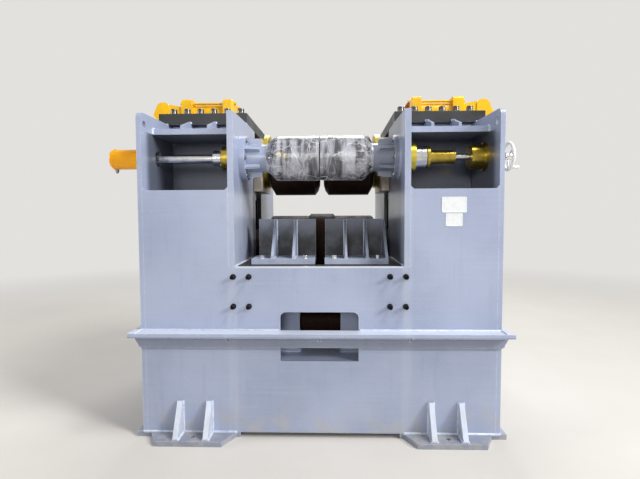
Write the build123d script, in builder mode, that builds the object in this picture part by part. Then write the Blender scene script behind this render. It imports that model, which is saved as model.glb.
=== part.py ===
from build123d import *
import os
from math import cos, radians, sin, sqrt

# H-beam straightening machine: a welded portal with two press rollers over one drive roller.
# +X points to the right of someone who faces the front, +Y to the rear and +Z up.
# The origin is on the floor, at the centre of the four anchor holes. All lengths are in millimetres.
os.makedirs("parts", exist_ok=True)

# Portal frame
FRAME_W = 2400
FRAME_D = 1890
GAP_W = 1120
OUTER_T = 30
INNER_T = 40
PLATE_T = 30
TABLE_Z = 1160
TABLE_T = 40
SILL_RISE = 508
CORNER_LEG = 20
EAR_R = 45
EAR_DROP = 16
LIFT_HOLE_R = 25
LIFT_EDGE = 60
LIFT_DROP = 88

# Feet
FOOT_T = 35
FOOT_OUT = 44
FOOT_LIP = 23
LUG_REACH = 130
LUG_ROOT_W = 585
LUG_TIP_W = 440
LUG_SHIFT = 30
FOOT_GUSSET_H = 220
FOOT_GUSSET_T = 34
FOOT_GUSSET_PITCH = 198
FOOT_GUSSET_BACK = 8
FOOT_GUSSET_NOSE = 14
FOOT_GUSSET_CREST = 18
ANCHOR_R = 16
ANCHOR_OUT = 65
ANCHOR_SHIFT = 44

# Shelf round the frame, made of a flat plate over an upright band
SHELF_Z = 734
SHELF_T = 28
SHELF_FRONT = 100
SHELF_SIDE = 50
SHELF_H = 112
BAND_T = 22
SHELF_GUSSET_T = 16
SHELF_GUSSET_X = 605
SHELF_GUSSET_H = 46

# Opening low in the front and rear plates, with the deck behind it
PORT_W = 522
PORT_BOTTOM = 525
PORT_H = 331
PORT_R = 40
DECK_T = 30
PEDESTAL_IN = 146
PEDESTAL_W = 184
PEDESTAL_FRONT = 200
PEDESTAL_D = 300
PEDESTAL_H = 410
PEDESTAL_R = 40
CROSS_SHAFT_R = 95
CROSS_SHAFT_RISE = 200
CROSS_SHAFT_SEAT = 40

# Towers: floors, partitions, cross plates and top plates
TOWER_FLOOR_T = 30
PARTITION_T = 20
PARTITION_Y = 355
CROSS_T = 40
CROSS_CLEAR = 8
CROSS_FRONT = 190
TOP_T = 85
TOP_HALF_D = 455
TOP_OVER = 44
TOP_EDGE = 4
TOP_GUSSET_T = 20
TOP_GUSSET_PITCH = 195
TOP_GUSSET_SHIFT = 20.5
TOP_GUSSET_REACH = 185
TOP_GUSSET_TIP = 48
TOP_GUSSET_RISE = 22

# Slots in the inner walls, and the carriages that slide in them
SLOT_HALF = 150
SLOT_R = 20
SLIDE_GAP = 6
CARRIAGE_DOWN = 230
CARRIAGE_UP = 199
FACE_PLATE_T = 70
FACE_PLATE_HALF = 235
FACE_PLATE_EDGE = 12
KEEPER_T = 84
KEEPER_HALF = 225
PRESS_TRAVEL = 60
TRAVEL_ROOM = 10
FLOOR_NOTCH_GAP = 14

# Press rollers
PASS_H = 163
PRESS_R = 252
PRESS_IN = 17
PRESS_END_GAP = 10
WEB_EDGE_W = 40
WEB_EDGE_H = 80
WEB_NOSE = 13
WEB_SHOULDER = 44
OUTER_EDGE_W = 34
OUTER_EDGE_H = 60
DISC_R = 230
DISC_RISE = 34
DISC_T = 40
DISC_EDGE = 6
SHAFT_R = 70
BEARING_GAP = 0.08

# Press screws and return cylinders
SCREW_R = 55
SCREW_GAP = 0.5
SCREW_EDGE = 4
SCREW_SUNK = 10
RETURN_ROD_R = 20
RETURN_ROD_L = 172
RETURN_BARREL_R = 36
RETURN_RING_R = 40
RETURN_RING_T = 14
RETURN_GAP = 6

# Drive roller and its chocks
DRIVE_RISE = 70
DRIVE_R = 269
DRIVE_BAND_R = 286
DRIVE_BAND_HALF = 96
DRIVE_END_GAP = 120
DRIVE_EDGE = 14
CHOCK_DEPTH = 140
CHOCK_INSET = 2
CHOCK_GAP = 5
TABLE_PORT_GAP = 20
TABLE_SLOT_FRONT = 125

# Angle brackets on the table
BRACKET_IN = 35
BRACKET_WALL_GAP = 84
BRACKET_FRONT = 150
BRACKET_D = 260
BRACKET_H = 313
BRACKET_T = 38
UPRIGHT_T = 25
UPRIGHT_INSET = 17
RIB_T = 18
RIB_INSET = 149
RIB_PITCH = 148.5
RIB_BACK = 12
RIB_NOSE = 14
RIB_DROP = 6
RIB_FACE = 2

# Drive units on the top plates
UNIT_INSET = 184
UNIT_HALF_D = 105
UNIT_H = 207
UNIT_EDGE = 22
HEAD_W = 92
BARREL_L = 264
BARREL_R = 80
BARREL_RISE = 97
TIE_ROD_R = 10
TIE_ROD_OFFSET = 74
FLANGE_BLOCK_W = 89
NECK_L = 111
NECK_HALF_D = 88
NECK_H = 145
NECK_LIFT = 22
DOME_L = 91
DOME_H = 181
DOME_R = 38
CAP_L = 42
CAP_RISE = 68
CAP_TIP_H = 18
CAP_HALF_D = 97

# Front web guides, one on each inner wall
GUIDE_INSET = 290
GUIDE_DROP = 21
SLEEVE_FLANGE_R = 155
SLEEVE_FLANGE_T = 44
SLEEVE_R = 98
SLEEVE_L = 185
SLEEVE_RIB_L = 100
SLEEVE_RIB_T = 16
SLEEVE_RIB_R = 140
SLEEVE_RIB_END_R = 128
SLEEVE_RIB_ROOT = 4
SLEEVE_RIBS = 6
SLEEVE_RIB_TURN = 5
GUIDE_ROD_R = 32
ROD_GAP = 0.08
HEAD_R = 150
HEAD_EDGE = 18
HEAD_RIM_W = 46
HEAD_WAIST_R = 132
HEAD_SLEEVE_GAP = 25
GUIDE_CLEAR = 8
GUIDE_TRAVEL = 40
STOP_GAP = 0.5
HUB_R = 86
HUB_L = 98
HUB_EDGE = 4
COLLAR_R = 56
COLLAR_L = 63

# Cylinder that moves the left guide
CYLINDER_R = 71
CYLINDER_L = 307
CYLINDER_BORE_R = 40
CYLINDER_CAP_T = 40
CYLINDER_EDGE = 16
ROD_IN_CYLINDER = 100
WALL_PORT_R = 60

# Screw and handwheel that move the right guide
RING_R = 102
RING_L = 54
RING_BASE_R = 150
RING_BASE_T = 20
NUT_R = 78
NUT_L = 82
NUT_EDGE = 5
SHOULDER_R = 79
SHOULDER_T = 20
SPINDLE_R = 47
SPINDLE_ROOM = 63
ADJUST_R = 22
ADJUST_GAP = 0.3
ADJUST_IN = 80
SHANK_R = 14
SHANK_GAP = 7
BORE_ROOM = 10
BOX_R = 86
BOX_L = 110
BOX_FLANGE_R = 102
BOX_FLANGE_T = 20
WHEEL_OUT = 139
WHEEL_R = 94
WHEEL_BAR_R = 8
WHEEL_HUB_R = 23
WHEEL_HUB_L = 40
WHEEL_SPOKES = 3
SPOKE_R = 6
SPOKE_SEAT = 4
HANDLE_R = 10
HANDLE_IN = 24
HANDLE_OUT = 40
HANDLE_ANGLE = 239.5

# Places across the frame
HALF_W = FRAME_W / 2
HALF_D = FRAME_D / 2
HALF_GAP = GAP_W / 2
INNER_OUT = HALF_GAP + INNER_T
OUTER_IN = HALF_W - OUTER_T
PLATE_BACK = HALF_D - PLATE_T
TOWER_X = (OUTER_IN + INNER_OUT) / 2
LUG_X = TOWER_X - LUG_SHIFT
ANCHOR_X = TOWER_X - ANCHOR_SHIFT
FACE_IN = HALF_GAP - SLIDE_GAP - FACE_PLATE_T
KEEPER_IN = INNER_OUT + SLIDE_GAP
KEEPER_OUT = KEEPER_IN + KEEPER_T
SCREW_X = (KEEPER_IN + KEEPER_OUT) / 2
DISC_IN = FACE_IN - DISC_T
CHOCK_IN = HALF_GAP + CHOCK_INSET
CHOCK_OUT = CHOCK_IN + CHOCK_DEPTH
RETURN_X = CHOCK_IN + RETURN_RING_R
GUIDE_Y = GUIDE_INSET - HALF_D
DRIVE_HALF = HALF_GAP - DRIVE_END_GAP
BRACKET_OUT = HALF_GAP - BRACKET_WALL_GAP
HEAD_IN = HALF_GAP + UNIT_INSET
BARREL_IN = HEAD_IN + HEAD_W
BARREL_OUT = BARREL_IN + BARREL_L
UNIT_OUT = BARREL_OUT + FLANGE_BLOCK_W
SLEEVE_END = HALF_GAP - SLEEVE_L
HEAD_END = SLEEVE_END - GUIDE_TRAVEL - HEAD_SLEEVE_GAP
BOX_IN = OUTER_IN - BOX_L
SPINDLE_END = BOX_IN - GUIDE_TRAVEL - SPINDLE_ROOM
ADJUST_END = BOX_IN - SHANK_GAP
WHEEL_X = HALF_W + WHEEL_OUT

# Heights above the floor
BAND_BOTTOM = SHELF_Z - SHELF_H
PORT_TOP = PORT_BOTTOM + PORT_H
PEDESTAL_TOP = PORT_BOTTOM + PEDESTAL_H
CROSS_SHAFT_Z = PORT_BOTTOM + CROSS_SHAFT_RISE
SILL_Z = TABLE_Z + SILL_RISE
DRIVE_Z = TABLE_Z + DRIVE_RISE
SLOT_BOTTOM = DRIVE_Z - SLOT_HALF
CHOCK_TOP = DRIVE_Z + SLOT_HALF
PRESS_Z = DRIVE_Z + DRIVE_BAND_R + PASS_H + PRESS_R
GUIDE_Z = PRESS_Z - GUIDE_DROP
CARRIAGE_BOTTOM = PRESS_Z - CARRIAGE_DOWN
CARRIAGE_TOP = PRESS_Z + CARRIAGE_UP
RETURN_TOP = CARRIAGE_BOTTOM - PRESS_TRAVEL - RETURN_GAP
RETURN_ROD_BOTTOM = CARRIAGE_BOTTOM - RETURN_ROD_L
WALL_TOP = CARRIAGE_TOP + PRESS_TRAVEL + TRAVEL_ROOM
EAR_TOP = WALL_TOP - EAR_DROP
CROSS_TOP = GUIDE_Z + RING_BASE_R + CROSS_CLEAR + CROSS_T
TOP_Z = WALL_TOP + TOP_T
SCREW_TOP = TOP_Z - SCREW_SUNK
UNIT_TOP = TOP_Z + UNIT_H
BARREL_Z = TOP_Z + BARREL_RISE


def block(x_range, y_range, z_range, mode=Mode.ADD):
    """A rectangular plate or block between three pairs of coordinates."""
    middle = [(low + high) / 2 for low, high in (x_range, y_range, z_range)]
    sides = [high - low for low, high in (x_range, y_range, z_range)]
    with Locations(tuple(middle)):
        Box(*sides, mode=mode)


def turned(axis_y, axis_z, radius, x_from, x_to, mode=Mode.ADD):
    """A round bar or bore along X between two places."""
    with Locations(((x_from + x_to) / 2, axis_y, axis_z)):
        Cylinder(radius, abs(x_to - x_from), rotation=(0, 90, 0), mode=mode)


# Outer walls, with rounded ears that slope down, lifting holes, and a port or bore for the guide drive
with BuildPart() as right_outer_wall:
    with BuildSketch(Plane.YZ.offset(OUTER_IN)) as outline:
        with BuildLine():
            Polyline(
                (-HALF_D, FOOT_T),
                (-HALF_D, EAR_TOP),
                (-TOP_HALF_D, WALL_TOP),
                (TOP_HALF_D, WALL_TOP),
                (HALF_D, EAR_TOP),
                (HALF_D, FOOT_T),
                close=True,
            )
        make_face()
        fillet(outline.vertices().group_by(Axis.Y)[1], EAR_R)
        with Locations(
            (LIFT_EDGE - HALF_D, WALL_TOP - LIFT_DROP), (HALF_D - LIFT_EDGE, WALL_TOP - LIFT_DROP)
        ):
            Circle(LIFT_HOLE_R, mode=Mode.SUBTRACT)
        with Locations((GUIDE_Y, GUIDE_Z)):
            Circle(SHANK_R + ADJUST_GAP, mode=Mode.SUBTRACT)
    extrude(amount=OUTER_T)
right_outer_wall.part.label = "right_outer_wall"
export_step(right_outer_wall.part, "parts/right_outer_wall.step")

with BuildPart() as left_outer_wall:
    mirror(right_outer_wall.part, about=Plane.YZ)
    turned(GUIDE_Y, GUIDE_Z, WALL_PORT_R, -HALF_W, -OUTER_IN, mode=Mode.SUBTRACT)
left_outer_wall.part.label = "left_outer_wall"
export_step(left_outer_wall.part, "parts/left_outer_wall.step")

# Inner walls, each with a slot that is open at the top
with BuildPart() as right_inner_wall:
    with BuildSketch(Plane.YZ.offset(HALF_GAP)):
        with BuildLine():
            Polyline(
                (-PLATE_BACK, FOOT_T),
                (-PLATE_BACK, TABLE_Z),
                (-HALF_D, TABLE_Z),
                (-HALF_D, EAR_TOP),
                (-TOP_HALF_D, WALL_TOP),
                (TOP_HALF_D, WALL_TOP),
                (HALF_D, EAR_TOP),
                (HALF_D, TABLE_Z),
                (PLATE_BACK, TABLE_Z),
                (PLATE_BACK, FOOT_T),
                close=True,
            )
        make_face()
        with Locations((GUIDE_Y, GUIDE_Z)):
            Circle(GUIDE_ROD_R + ROD_GAP, mode=Mode.SUBTRACT)
    extrude(amount=INNER_T)
    block((HALF_GAP, INNER_OUT), (-SLOT_HALF, SLOT_HALF), (SLOT_BOTTOM, WALL_TOP), mode=Mode.SUBTRACT)
    slot_corners = right_inner_wall.edges().filter_by(Axis.X).filter_by_position(
        Axis.Z, SLOT_BOTTOM - 1, SLOT_BOTTOM + 1
    )
    fillet(slot_corners, SLOT_R)
right_inner_wall.part.label = "right_inner_wall"
export_step(right_inner_wall.part, "parts/right_inner_wall.step")

with BuildPart() as left_inner_wall:
    mirror(right_inner_wall.part, about=Plane.YZ)
left_inner_wall.part.label = "left_inner_wall"
export_step(left_inner_wall.part, "parts/left_inner_wall.step")

# Front plate: the towers' lower faces, the sill of each window and the opening over the deck
with BuildPart() as front_plate:
    with BuildSketch(Plane.XZ.offset(HALF_D)) as outline:
        with BuildLine():
            Polyline(
                (0, FOOT_T),
                (OUTER_IN, FOOT_T),
                (OUTER_IN, SILL_Z + CORNER_LEG),
                (OUTER_IN - CORNER_LEG, SILL_Z),
                (INNER_OUT + CORNER_LEG, SILL_Z),
                (INNER_OUT, SILL_Z + CORNER_LEG),
                (INNER_OUT, TABLE_Z),
                (0, TABLE_Z),
                close=True,
            )
        make_face()
        mirror(about=Plane.YZ)
        with BuildSketch(Plane.XZ.offset(HALF_D), mode=Mode.SUBTRACT) as port:
            with Locations((0, (PORT_BOTTOM + PORT_TOP) / 2)):
                Rectangle(PORT_W, PORT_H)
            fillet(port.vertices().group_by(Axis.Y)[-1], PORT_R)
    extrude(amount=-PLATE_T)
front_plate.part.label = "front_plate"
export_step(front_plate.part, "parts/front_plate.step")

with BuildPart() as rear_plate:
    mirror(front_plate.part, about=Plane.XZ)
rear_plate.part.label = "rear_plate"
export_step(rear_plate.part, "parts/rear_plate.step")

# Table plate between the inner walls, open round the drive roller and between the brackets
with BuildPart() as table_plate:
    block((-HALF_GAP, HALF_GAP), (-PLATE_BACK, PLATE_BACK), (TABLE_Z - TABLE_T, TABLE_Z))
    chord = sqrt(DRIVE_BAND_R**2 - (DRIVE_Z - TABLE_Z) ** 2)
    block(
        (-DRIVE_HALF - TABLE_PORT_GAP, DRIVE_HALF + TABLE_PORT_GAP),
        (-chord - TABLE_PORT_GAP, chord + TABLE_PORT_GAP),
        (TABLE_Z - TABLE_T, TABLE_Z),
        mode=Mode.SUBTRACT,
    )
    slot_end = HALF_D - TABLE_SLOT_FRONT
    block(
        (-BRACKET_IN, BRACKET_IN), (-slot_end, slot_end), (TABLE_Z - TABLE_T, TABLE_Z), mode=Mode.SUBTRACT
    )
table_plate.part.label = "table_plate"
export_step(table_plate.part, "parts/table_plate.step")

# Deck behind the low opening, with the pedestals of the cross shaft
with BuildPart() as inner_deck:
    block((-HALF_GAP, HALF_GAP), (-PLATE_BACK, PLATE_BACK), (PORT_BOTTOM - DECK_T, PORT_BOTTOM))
inner_deck.part.label = "inner_deck"
export_step(inner_deck.part, "parts/inner_deck.step")

pedestal_y = PEDESTAL_FRONT - HALF_D
shaft_y = pedestal_y + PEDESTAL_D / 2
with BuildPart() as shaft_pedestals:
    block(
        (PEDESTAL_IN, PEDESTAL_IN + PEDESTAL_W),
        (pedestal_y, pedestal_y + PEDESTAL_D),
        (PORT_BOTTOM, PEDESTAL_TOP),
    )
    fillet(shaft_pedestals.edges().filter_by(Axis.X).group_by(Axis.Z)[-1], PEDESTAL_R)
    turned(shaft_y, CROSS_SHAFT_Z, CROSS_SHAFT_R, 0, PEDESTAL_IN + CROSS_SHAFT_SEAT, mode=Mode.SUBTRACT)
    mirror(about=Plane.YZ)
shaft_pedestals.part.label = "shaft_pedestals"
export_step(shaft_pedestals.part, "parts/shaft_pedestals.step")

with BuildPart() as cross_shaft:
    shaft_end = PEDESTAL_IN + CROSS_SHAFT_SEAT
    turned(shaft_y, CROSS_SHAFT_Z, CROSS_SHAFT_R, -shaft_end, shaft_end)
cross_shaft.part.label = "cross_shaft"
export_step(cross_shaft.part, "parts/cross_shaft.step")

# Tower floors at sill height, each with a notch for the carriage
with BuildPart() as tower_floors:
    block((INNER_OUT, OUTER_IN), (-PLATE_BACK, PLATE_BACK), (SILL_Z - TOWER_FLOOR_T, SILL_Z))
    block(
        (INNER_OUT, KEEPER_OUT + FLOOR_NOTCH_GAP),
        (-KEEPER_HALF - FLOOR_NOTCH_GAP, KEEPER_HALF + FLOOR_NOTCH_GAP),
        (SILL_Z - TOWER_FLOOR_T, SILL_Z),
        mode=Mode.SUBTRACT,
    )
    mirror(about=Plane.YZ)
tower_floors.part.label = "tower_floors"
export_step(tower_floors.part, "parts/tower_floors.step")

# Partitions at the back of the window compartments
partition_front = -PARTITION_Y - PARTITION_T / 2
with BuildPart() as partitions:
    block(
        (INNER_OUT, OUTER_IN),
        (partition_front, partition_front + PARTITION_T),
        (SILL_Z, WALL_TOP),
    )
    mirror(about=Plane.YZ)
    mirror(about=Plane.XZ)
partitions.part.label = "partitions"
export_step(partitions.part, "parts/partitions.step")

# Cross plates that roof the compartments
with BuildPart() as cross_plates:
    block(
        (INNER_OUT, OUTER_IN),
        (CROSS_FRONT - HALF_D, partition_front),
        (CROSS_TOP - CROSS_T, CROSS_TOP),
    )
    mirror(about=Plane.YZ)
    mirror(about=Plane.XZ)
cross_plates.part.label = "cross_plates"
export_step(cross_plates.part, "parts/cross_plates.step")

# Gussets that rise from the cross plates to the top plates
gusset_middle = TOWER_X + TOP_GUSSET_SHIFT
gusset_nose = -TOP_HALF_D - TOP_GUSSET_REACH
with BuildPart() as top_gussets:
    for gusset_x in (gusset_middle - TOP_GUSSET_PITCH / 2, gusset_middle + TOP_GUSSET_PITCH / 2):
        with BuildSketch(Plane.YZ.offset(gusset_x - TOP_GUSSET_T / 2)):
            with BuildLine():
                Polyline(
                    (gusset_nose, CROSS_TOP),
                    (gusset_nose, CROSS_TOP + TOP_GUSSET_TIP),
                    (-TOP_HALF_D, WALL_TOP + TOP_GUSSET_RISE),
                    (-TOP_HALF_D, WALL_TOP),
                    (partition_front, WALL_TOP),
                    (partition_front, CROSS_TOP),
                    close=True,
                )
            make_face()
        extrude(amount=TOP_GUSSET_T)
    mirror(about=Plane.YZ)
    mirror(about=Plane.XZ)
top_gussets.part.label = "top_gussets"
export_step(top_gussets.part, "parts/top_gussets.step")

# Thick top plates, bored for the press screws
with BuildPart() as top_plates:
    block((HALF_GAP, HALF_W + TOP_OVER), (-TOP_HALF_D, TOP_HALF_D), (WALL_TOP, TOP_Z))
    chamfer(top_plates.faces().sort_by(Axis.Z)[-1].edges(), TOP_EDGE)
    with Locations((SCREW_X, 0, WALL_TOP + TOP_T / 2)):
        Cylinder(SCREW_R + SCREW_GAP, TOP_T, mode=Mode.SUBTRACT)
    mirror(about=Plane.YZ)
top_plates.part.label = "top_plates"
export_step(top_plates.part, "parts/top_plates.step")

# Feet: a plate under each tower, with a tapered lug at the front and the rear
with BuildPart() as base_plates:
    block((HALF_GAP - FOOT_LIP, HALF_W + FOOT_OUT), (-HALF_D, HALF_D), (0, FOOT_T))
    with BuildSketch():
        with BuildLine():
            Polyline(
                (LUG_X - LUG_ROOT_W / 2, -HALF_D),
                (LUG_X - LUG_TIP_W / 2, -HALF_D - LUG_REACH),
                (LUG_X + LUG_TIP_W / 2, -HALF_D - LUG_REACH),
                (LUG_X + LUG_ROOT_W / 2, -HALF_D),
                close=True,
            )
        make_face()
        mirror(about=Plane.XZ)
    extrude(amount=FOOT_T)
    with Locations(
        (ANCHOR_X, -HALF_D - ANCHOR_OUT, FOOT_T / 2), (ANCHOR_X, HALF_D + ANCHOR_OUT, FOOT_T / 2)
    ):
        Cylinder(ANCHOR_R, FOOT_T, mode=Mode.SUBTRACT)
    mirror(about=Plane.YZ)
base_plates.part.label = "base_plates"
export_step(base_plates.part, "parts/base_plates.step")

gusset_tip = -HALF_D - LUG_REACH + FOOT_GUSSET_BACK
with BuildPart() as foot_gussets:
    for gusset_x in (ANCHOR_X - FOOT_GUSSET_PITCH / 2, ANCHOR_X + FOOT_GUSSET_PITCH / 2):
        with BuildSketch(Plane.YZ.offset(gusset_x - FOOT_GUSSET_T / 2)):
            with BuildLine():
                Polyline(
                    (-HALF_D, FOOT_T),
                    (gusset_tip, FOOT_T),
                    (gusset_tip, FOOT_T + FOOT_GUSSET_NOSE),
                    (-HALF_D - FOOT_GUSSET_CREST, FOOT_T + FOOT_GUSSET_H),
                    (-HALF_D, FOOT_T + FOOT_GUSSET_H),
                    close=True,
                )
            make_face()
        extrude(amount=FOOT_GUSSET_T)
    mirror(about=Plane.YZ)
    mirror(about=Plane.XZ)
foot_gussets.part.label = "foot_gussets"
export_step(foot_gussets.part, "parts/foot_gussets.step")

# Shelf at the front and rear, as one long angle each, and along the sides
with BuildPart() as front_shelf:
    with BuildSketch(Plane.YZ.offset(-HALF_W - SHELF_SIDE)):
        with BuildLine():
            Polyline(
                (-HALF_D, SHELF_Z),
                (-HALF_D - SHELF_FRONT, SHELF_Z),
                (-HALF_D - SHELF_FRONT, SHELF_Z - SHELF_T),
                (-HALF_D - BAND_T, SHELF_Z - SHELF_T),
                (-HALF_D - BAND_T, BAND_BOTTOM),
                (-HALF_D, BAND_BOTTOM),
                close=True,
            )
        make_face()
    extrude(amount=FRAME_W + 2 * SHELF_SIDE)
    with BuildSketch(Plane.XZ.offset(HALF_D)):
        with BuildLine():
            Polyline(
                (HALF_W, BAND_BOTTOM),
                (HALF_W + SHELF_SIDE, BAND_BOTTOM),
                (HALF_W + SHELF_SIDE, SHELF_Z - SHELF_T),
                close=True,
            )
        make_face()
        mirror(about=Plane.YZ)
    extrude(amount=BAND_T, mode=Mode.SUBTRACT)
front_shelf.part.label = "front_shelf"
export_step(front_shelf.part, "parts/front_shelf.step")

with BuildPart() as rear_shelf:
    mirror(front_shelf.part, about=Plane.XZ)
rear_shelf.part.label = "rear_shelf"
export_step(rear_shelf.part, "parts/rear_shelf.step")

with BuildPart() as side_shelves:
    with BuildSketch(Plane.XZ.offset(HALF_D)):
        with BuildLine():
            Polyline(
                (HALF_W, SHELF_Z),
                (HALF_W + SHELF_SIDE, SHELF_Z),
                (HALF_W + SHELF_SIDE, SHELF_Z - SHELF_T),
                (HALF_W + BAND_T, SHELF_Z - SHELF_T),
                (HALF_W + BAND_T, BAND_BOTTOM),
                (HALF_W, BAND_BOTTOM),
                close=True,
            )
        make_face()
    extrude(amount=-FRAME_D)
    mirror(about=Plane.YZ)
side_shelves.part.label = "side_shelves"
export_step(side_shelves.part, "parts/side_shelves.step")

with BuildPart() as shelf_gussets:
    for gusset_x in (-SHELF_GUSSET_X, 0, SHELF_GUSSET_X):
        with BuildSketch(Plane.YZ.offset(gusset_x - SHELF_GUSSET_T / 2)):
            with BuildLine():
                Polyline(
                    (-HALF_D - BAND_T, SHELF_Z - SHELF_T),
                    (-HALF_D - SHELF_FRONT, SHELF_Z - SHELF_T),
                    (-HALF_D - BAND_T, SHELF_Z - SHELF_T - SHELF_GUSSET_H),
                    close=True,
                )
            make_face()
        extrude(amount=SHELF_GUSSET_T)
    mirror(about=Plane.XZ)
shelf_gussets.part.label = "shelf_gussets"
export_step(shelf_gussets.part, "parts/shelf_gussets.step")

# Ribbed angle brackets on the table, in front of the drive roller and behind it
bracket_front = BRACKET_FRONT - HALF_D
bracket_back = bracket_front + BRACKET_D
rib_first = BRACKET_IN + RIB_INSET - RIB_T / 2
upright_out = BRACKET_OUT - UPRIGHT_INSET
with BuildPart() as bracket_rib:
    with BuildSketch(Plane.YZ):
        with BuildLine():
            Polyline(
                (bracket_front + RIB_BACK, TABLE_Z + BRACKET_T),
                (bracket_back - UPRIGHT_T, TABLE_Z + BRACKET_T),
                (bracket_back - UPRIGHT_T, TABLE_Z + BRACKET_H - RIB_DROP),
                (bracket_back - UPRIGHT_T - RIB_BACK, TABLE_Z + BRACKET_H - RIB_DROP),
                (bracket_front + RIB_BACK, TABLE_Z + BRACKET_T + RIB_NOSE),
                close=True,
            )
        make_face()
    extrude(amount=RIB_T)

# Both brackets have two ribs, and the right one has a third at its outer end
with BuildPart() as front_brackets:
    block((BRACKET_IN, BRACKET_OUT), (bracket_front, bracket_back), (TABLE_Z, TABLE_Z + BRACKET_T))
    block(
        (BRACKET_IN, upright_out),
        (bracket_back - UPRIGHT_T, bracket_back),
        (TABLE_Z, TABLE_Z + BRACKET_H),
    )
    with Locations((rib_first, 0, 0), (rib_first + RIB_PITCH, 0, 0)):
        add(bracket_rib.part)
    mirror(about=Plane.YZ)
    with Locations((upright_out - RIB_FACE, 0, 0)):
        add(bracket_rib.part)
front_brackets.part.label = "front_brackets"
export_step(front_brackets.part, "parts/front_brackets.step")

with BuildPart() as rear_brackets:
    mirror(front_brackets.part, about=Plane.XZ)
rear_brackets.part.label = "rear_brackets"
export_step(rear_brackets.part, "parts/rear_brackets.step")

# Drive roller with its raised band, on a shaft that runs in two chocks
with BuildPart() as drive_roller:
    with BuildSketch(Plane.XZ):
        with BuildLine():
            Polyline(
                (0, DRIVE_Z),
                (0, DRIVE_Z + DRIVE_BAND_R),
                (DRIVE_BAND_HALF, DRIVE_Z + DRIVE_BAND_R),
                (DRIVE_BAND_HALF + DRIVE_EDGE, DRIVE_Z + DRIVE_R),
                (DRIVE_HALF - DRIVE_EDGE, DRIVE_Z + DRIVE_R),
                (DRIVE_HALF, DRIVE_Z + DRIVE_R - DRIVE_EDGE),
                (DRIVE_HALF, DRIVE_Z + SHAFT_R),
                (CHOCK_OUT, DRIVE_Z + SHAFT_R),
                (CHOCK_OUT, DRIVE_Z),
                close=True,
            )
        make_face()
        mirror(about=Plane.YZ)
    revolve(axis=Axis((0, 0, DRIVE_Z), (1, 0, 0)))
drive_roller.part.label = "drive_roller"
export_step(drive_roller.part, "parts/drive_roller.step")

with BuildPart() as drive_chocks:
    block(
        (CHOCK_IN, CHOCK_OUT),
        (CHOCK_GAP - SLOT_HALF, SLOT_HALF - CHOCK_GAP),
        (SLOT_BOTTOM, CHOCK_TOP),
    )
    fillet(drive_chocks.edges().filter_by(Axis.X), SLOT_R)
    turned(0, DRIVE_Z, SHAFT_R + BEARING_GAP, CHOCK_IN, CHOCK_OUT, mode=Mode.SUBTRACT)
    mirror(about=Plane.YZ)
drive_chocks.part.label = "drive_chocks"
export_step(drive_chocks.part, "parts/drive_chocks.step")

# Return cylinders that stand on the drive chocks, in the slots, and lift the carriages
with BuildPart() as return_barrels:
    with BuildSketch(Plane.XZ):
        with BuildLine():
            Polyline(
                (RETURN_X, CHOCK_TOP),
                (RETURN_X + RETURN_BARREL_R, CHOCK_TOP),
                (RETURN_X + RETURN_BARREL_R, RETURN_TOP - RETURN_RING_T),
                (RETURN_X + RETURN_RING_R, RETURN_TOP - RETURN_RING_T),
                (RETURN_X + RETURN_RING_R, RETURN_TOP),
                (RETURN_X + RETURN_ROD_R + SCREW_GAP, RETURN_TOP),
                (RETURN_X + RETURN_ROD_R + SCREW_GAP, RETURN_ROD_BOTTOM - PRESS_TRAVEL - BORE_ROOM),
                (RETURN_X, RETURN_ROD_BOTTOM - PRESS_TRAVEL - BORE_ROOM),
                close=True,
            )
        make_face()
    revolve(axis=Axis((RETURN_X, 0, 0), (0, 0, 1)))
    mirror(about=Plane.YZ)
return_barrels.part.label = "return_barrels"
export_step(return_barrels.part, "parts/return_barrels.step")

# Carriages: a face plate and a keeper on both sides of the wall, joined through the slot
with BuildPart() as right_carriage:
    with BuildSketch(Plane.XY.offset(CARRIAGE_BOTTOM)):
        with BuildLine():
            Polyline(
                (FACE_IN, 0),
                (FACE_IN, FACE_PLATE_HALF - FACE_PLATE_EDGE),
                (FACE_IN + FACE_PLATE_EDGE, FACE_PLATE_HALF),
                (FACE_IN + FACE_PLATE_T, FACE_PLATE_HALF),
                (FACE_IN + FACE_PLATE_T, SLOT_HALF - SLIDE_GAP),
                (KEEPER_IN, SLOT_HALF - SLIDE_GAP),
                (KEEPER_IN, KEEPER_HALF),
                (KEEPER_OUT, KEEPER_HALF),
                (KEEPER_OUT, 0),
                close=True,
            )
        make_face()
        mirror(about=Plane.XZ)
    extrude(amount=CARRIAGE_TOP - CARRIAGE_BOTTOM)
    turned(0, PRESS_Z, SHAFT_R + BEARING_GAP, FACE_IN, KEEPER_OUT, mode=Mode.SUBTRACT)
right_carriage.part.label = "right_carriage"
export_step(right_carriage.part, "parts/right_carriage.step")

with BuildPart() as left_carriage:
    mirror(right_carriage.part, about=Plane.YZ)
left_carriage.part.label = "left_carriage"
export_step(left_carriage.part, "parts/left_carriage.step")

with BuildPart() as right_return_rod:
    with Locations((RETURN_X, 0, (RETURN_ROD_BOTTOM + CARRIAGE_BOTTOM) / 2)):
        Cylinder(RETURN_ROD_R, CARRIAGE_BOTTOM - RETURN_ROD_BOTTOM)
right_return_rod.part.label = "right_return_rod"
export_step(right_return_rod.part, "parts/right_return_rod.step")

with BuildPart() as left_return_rod:
    mirror(right_return_rod.part, about=Plane.YZ)
left_return_rod.part.label = "left_return_rod"
export_step(left_return_rod.part, "parts/left_return_rod.step")

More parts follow.
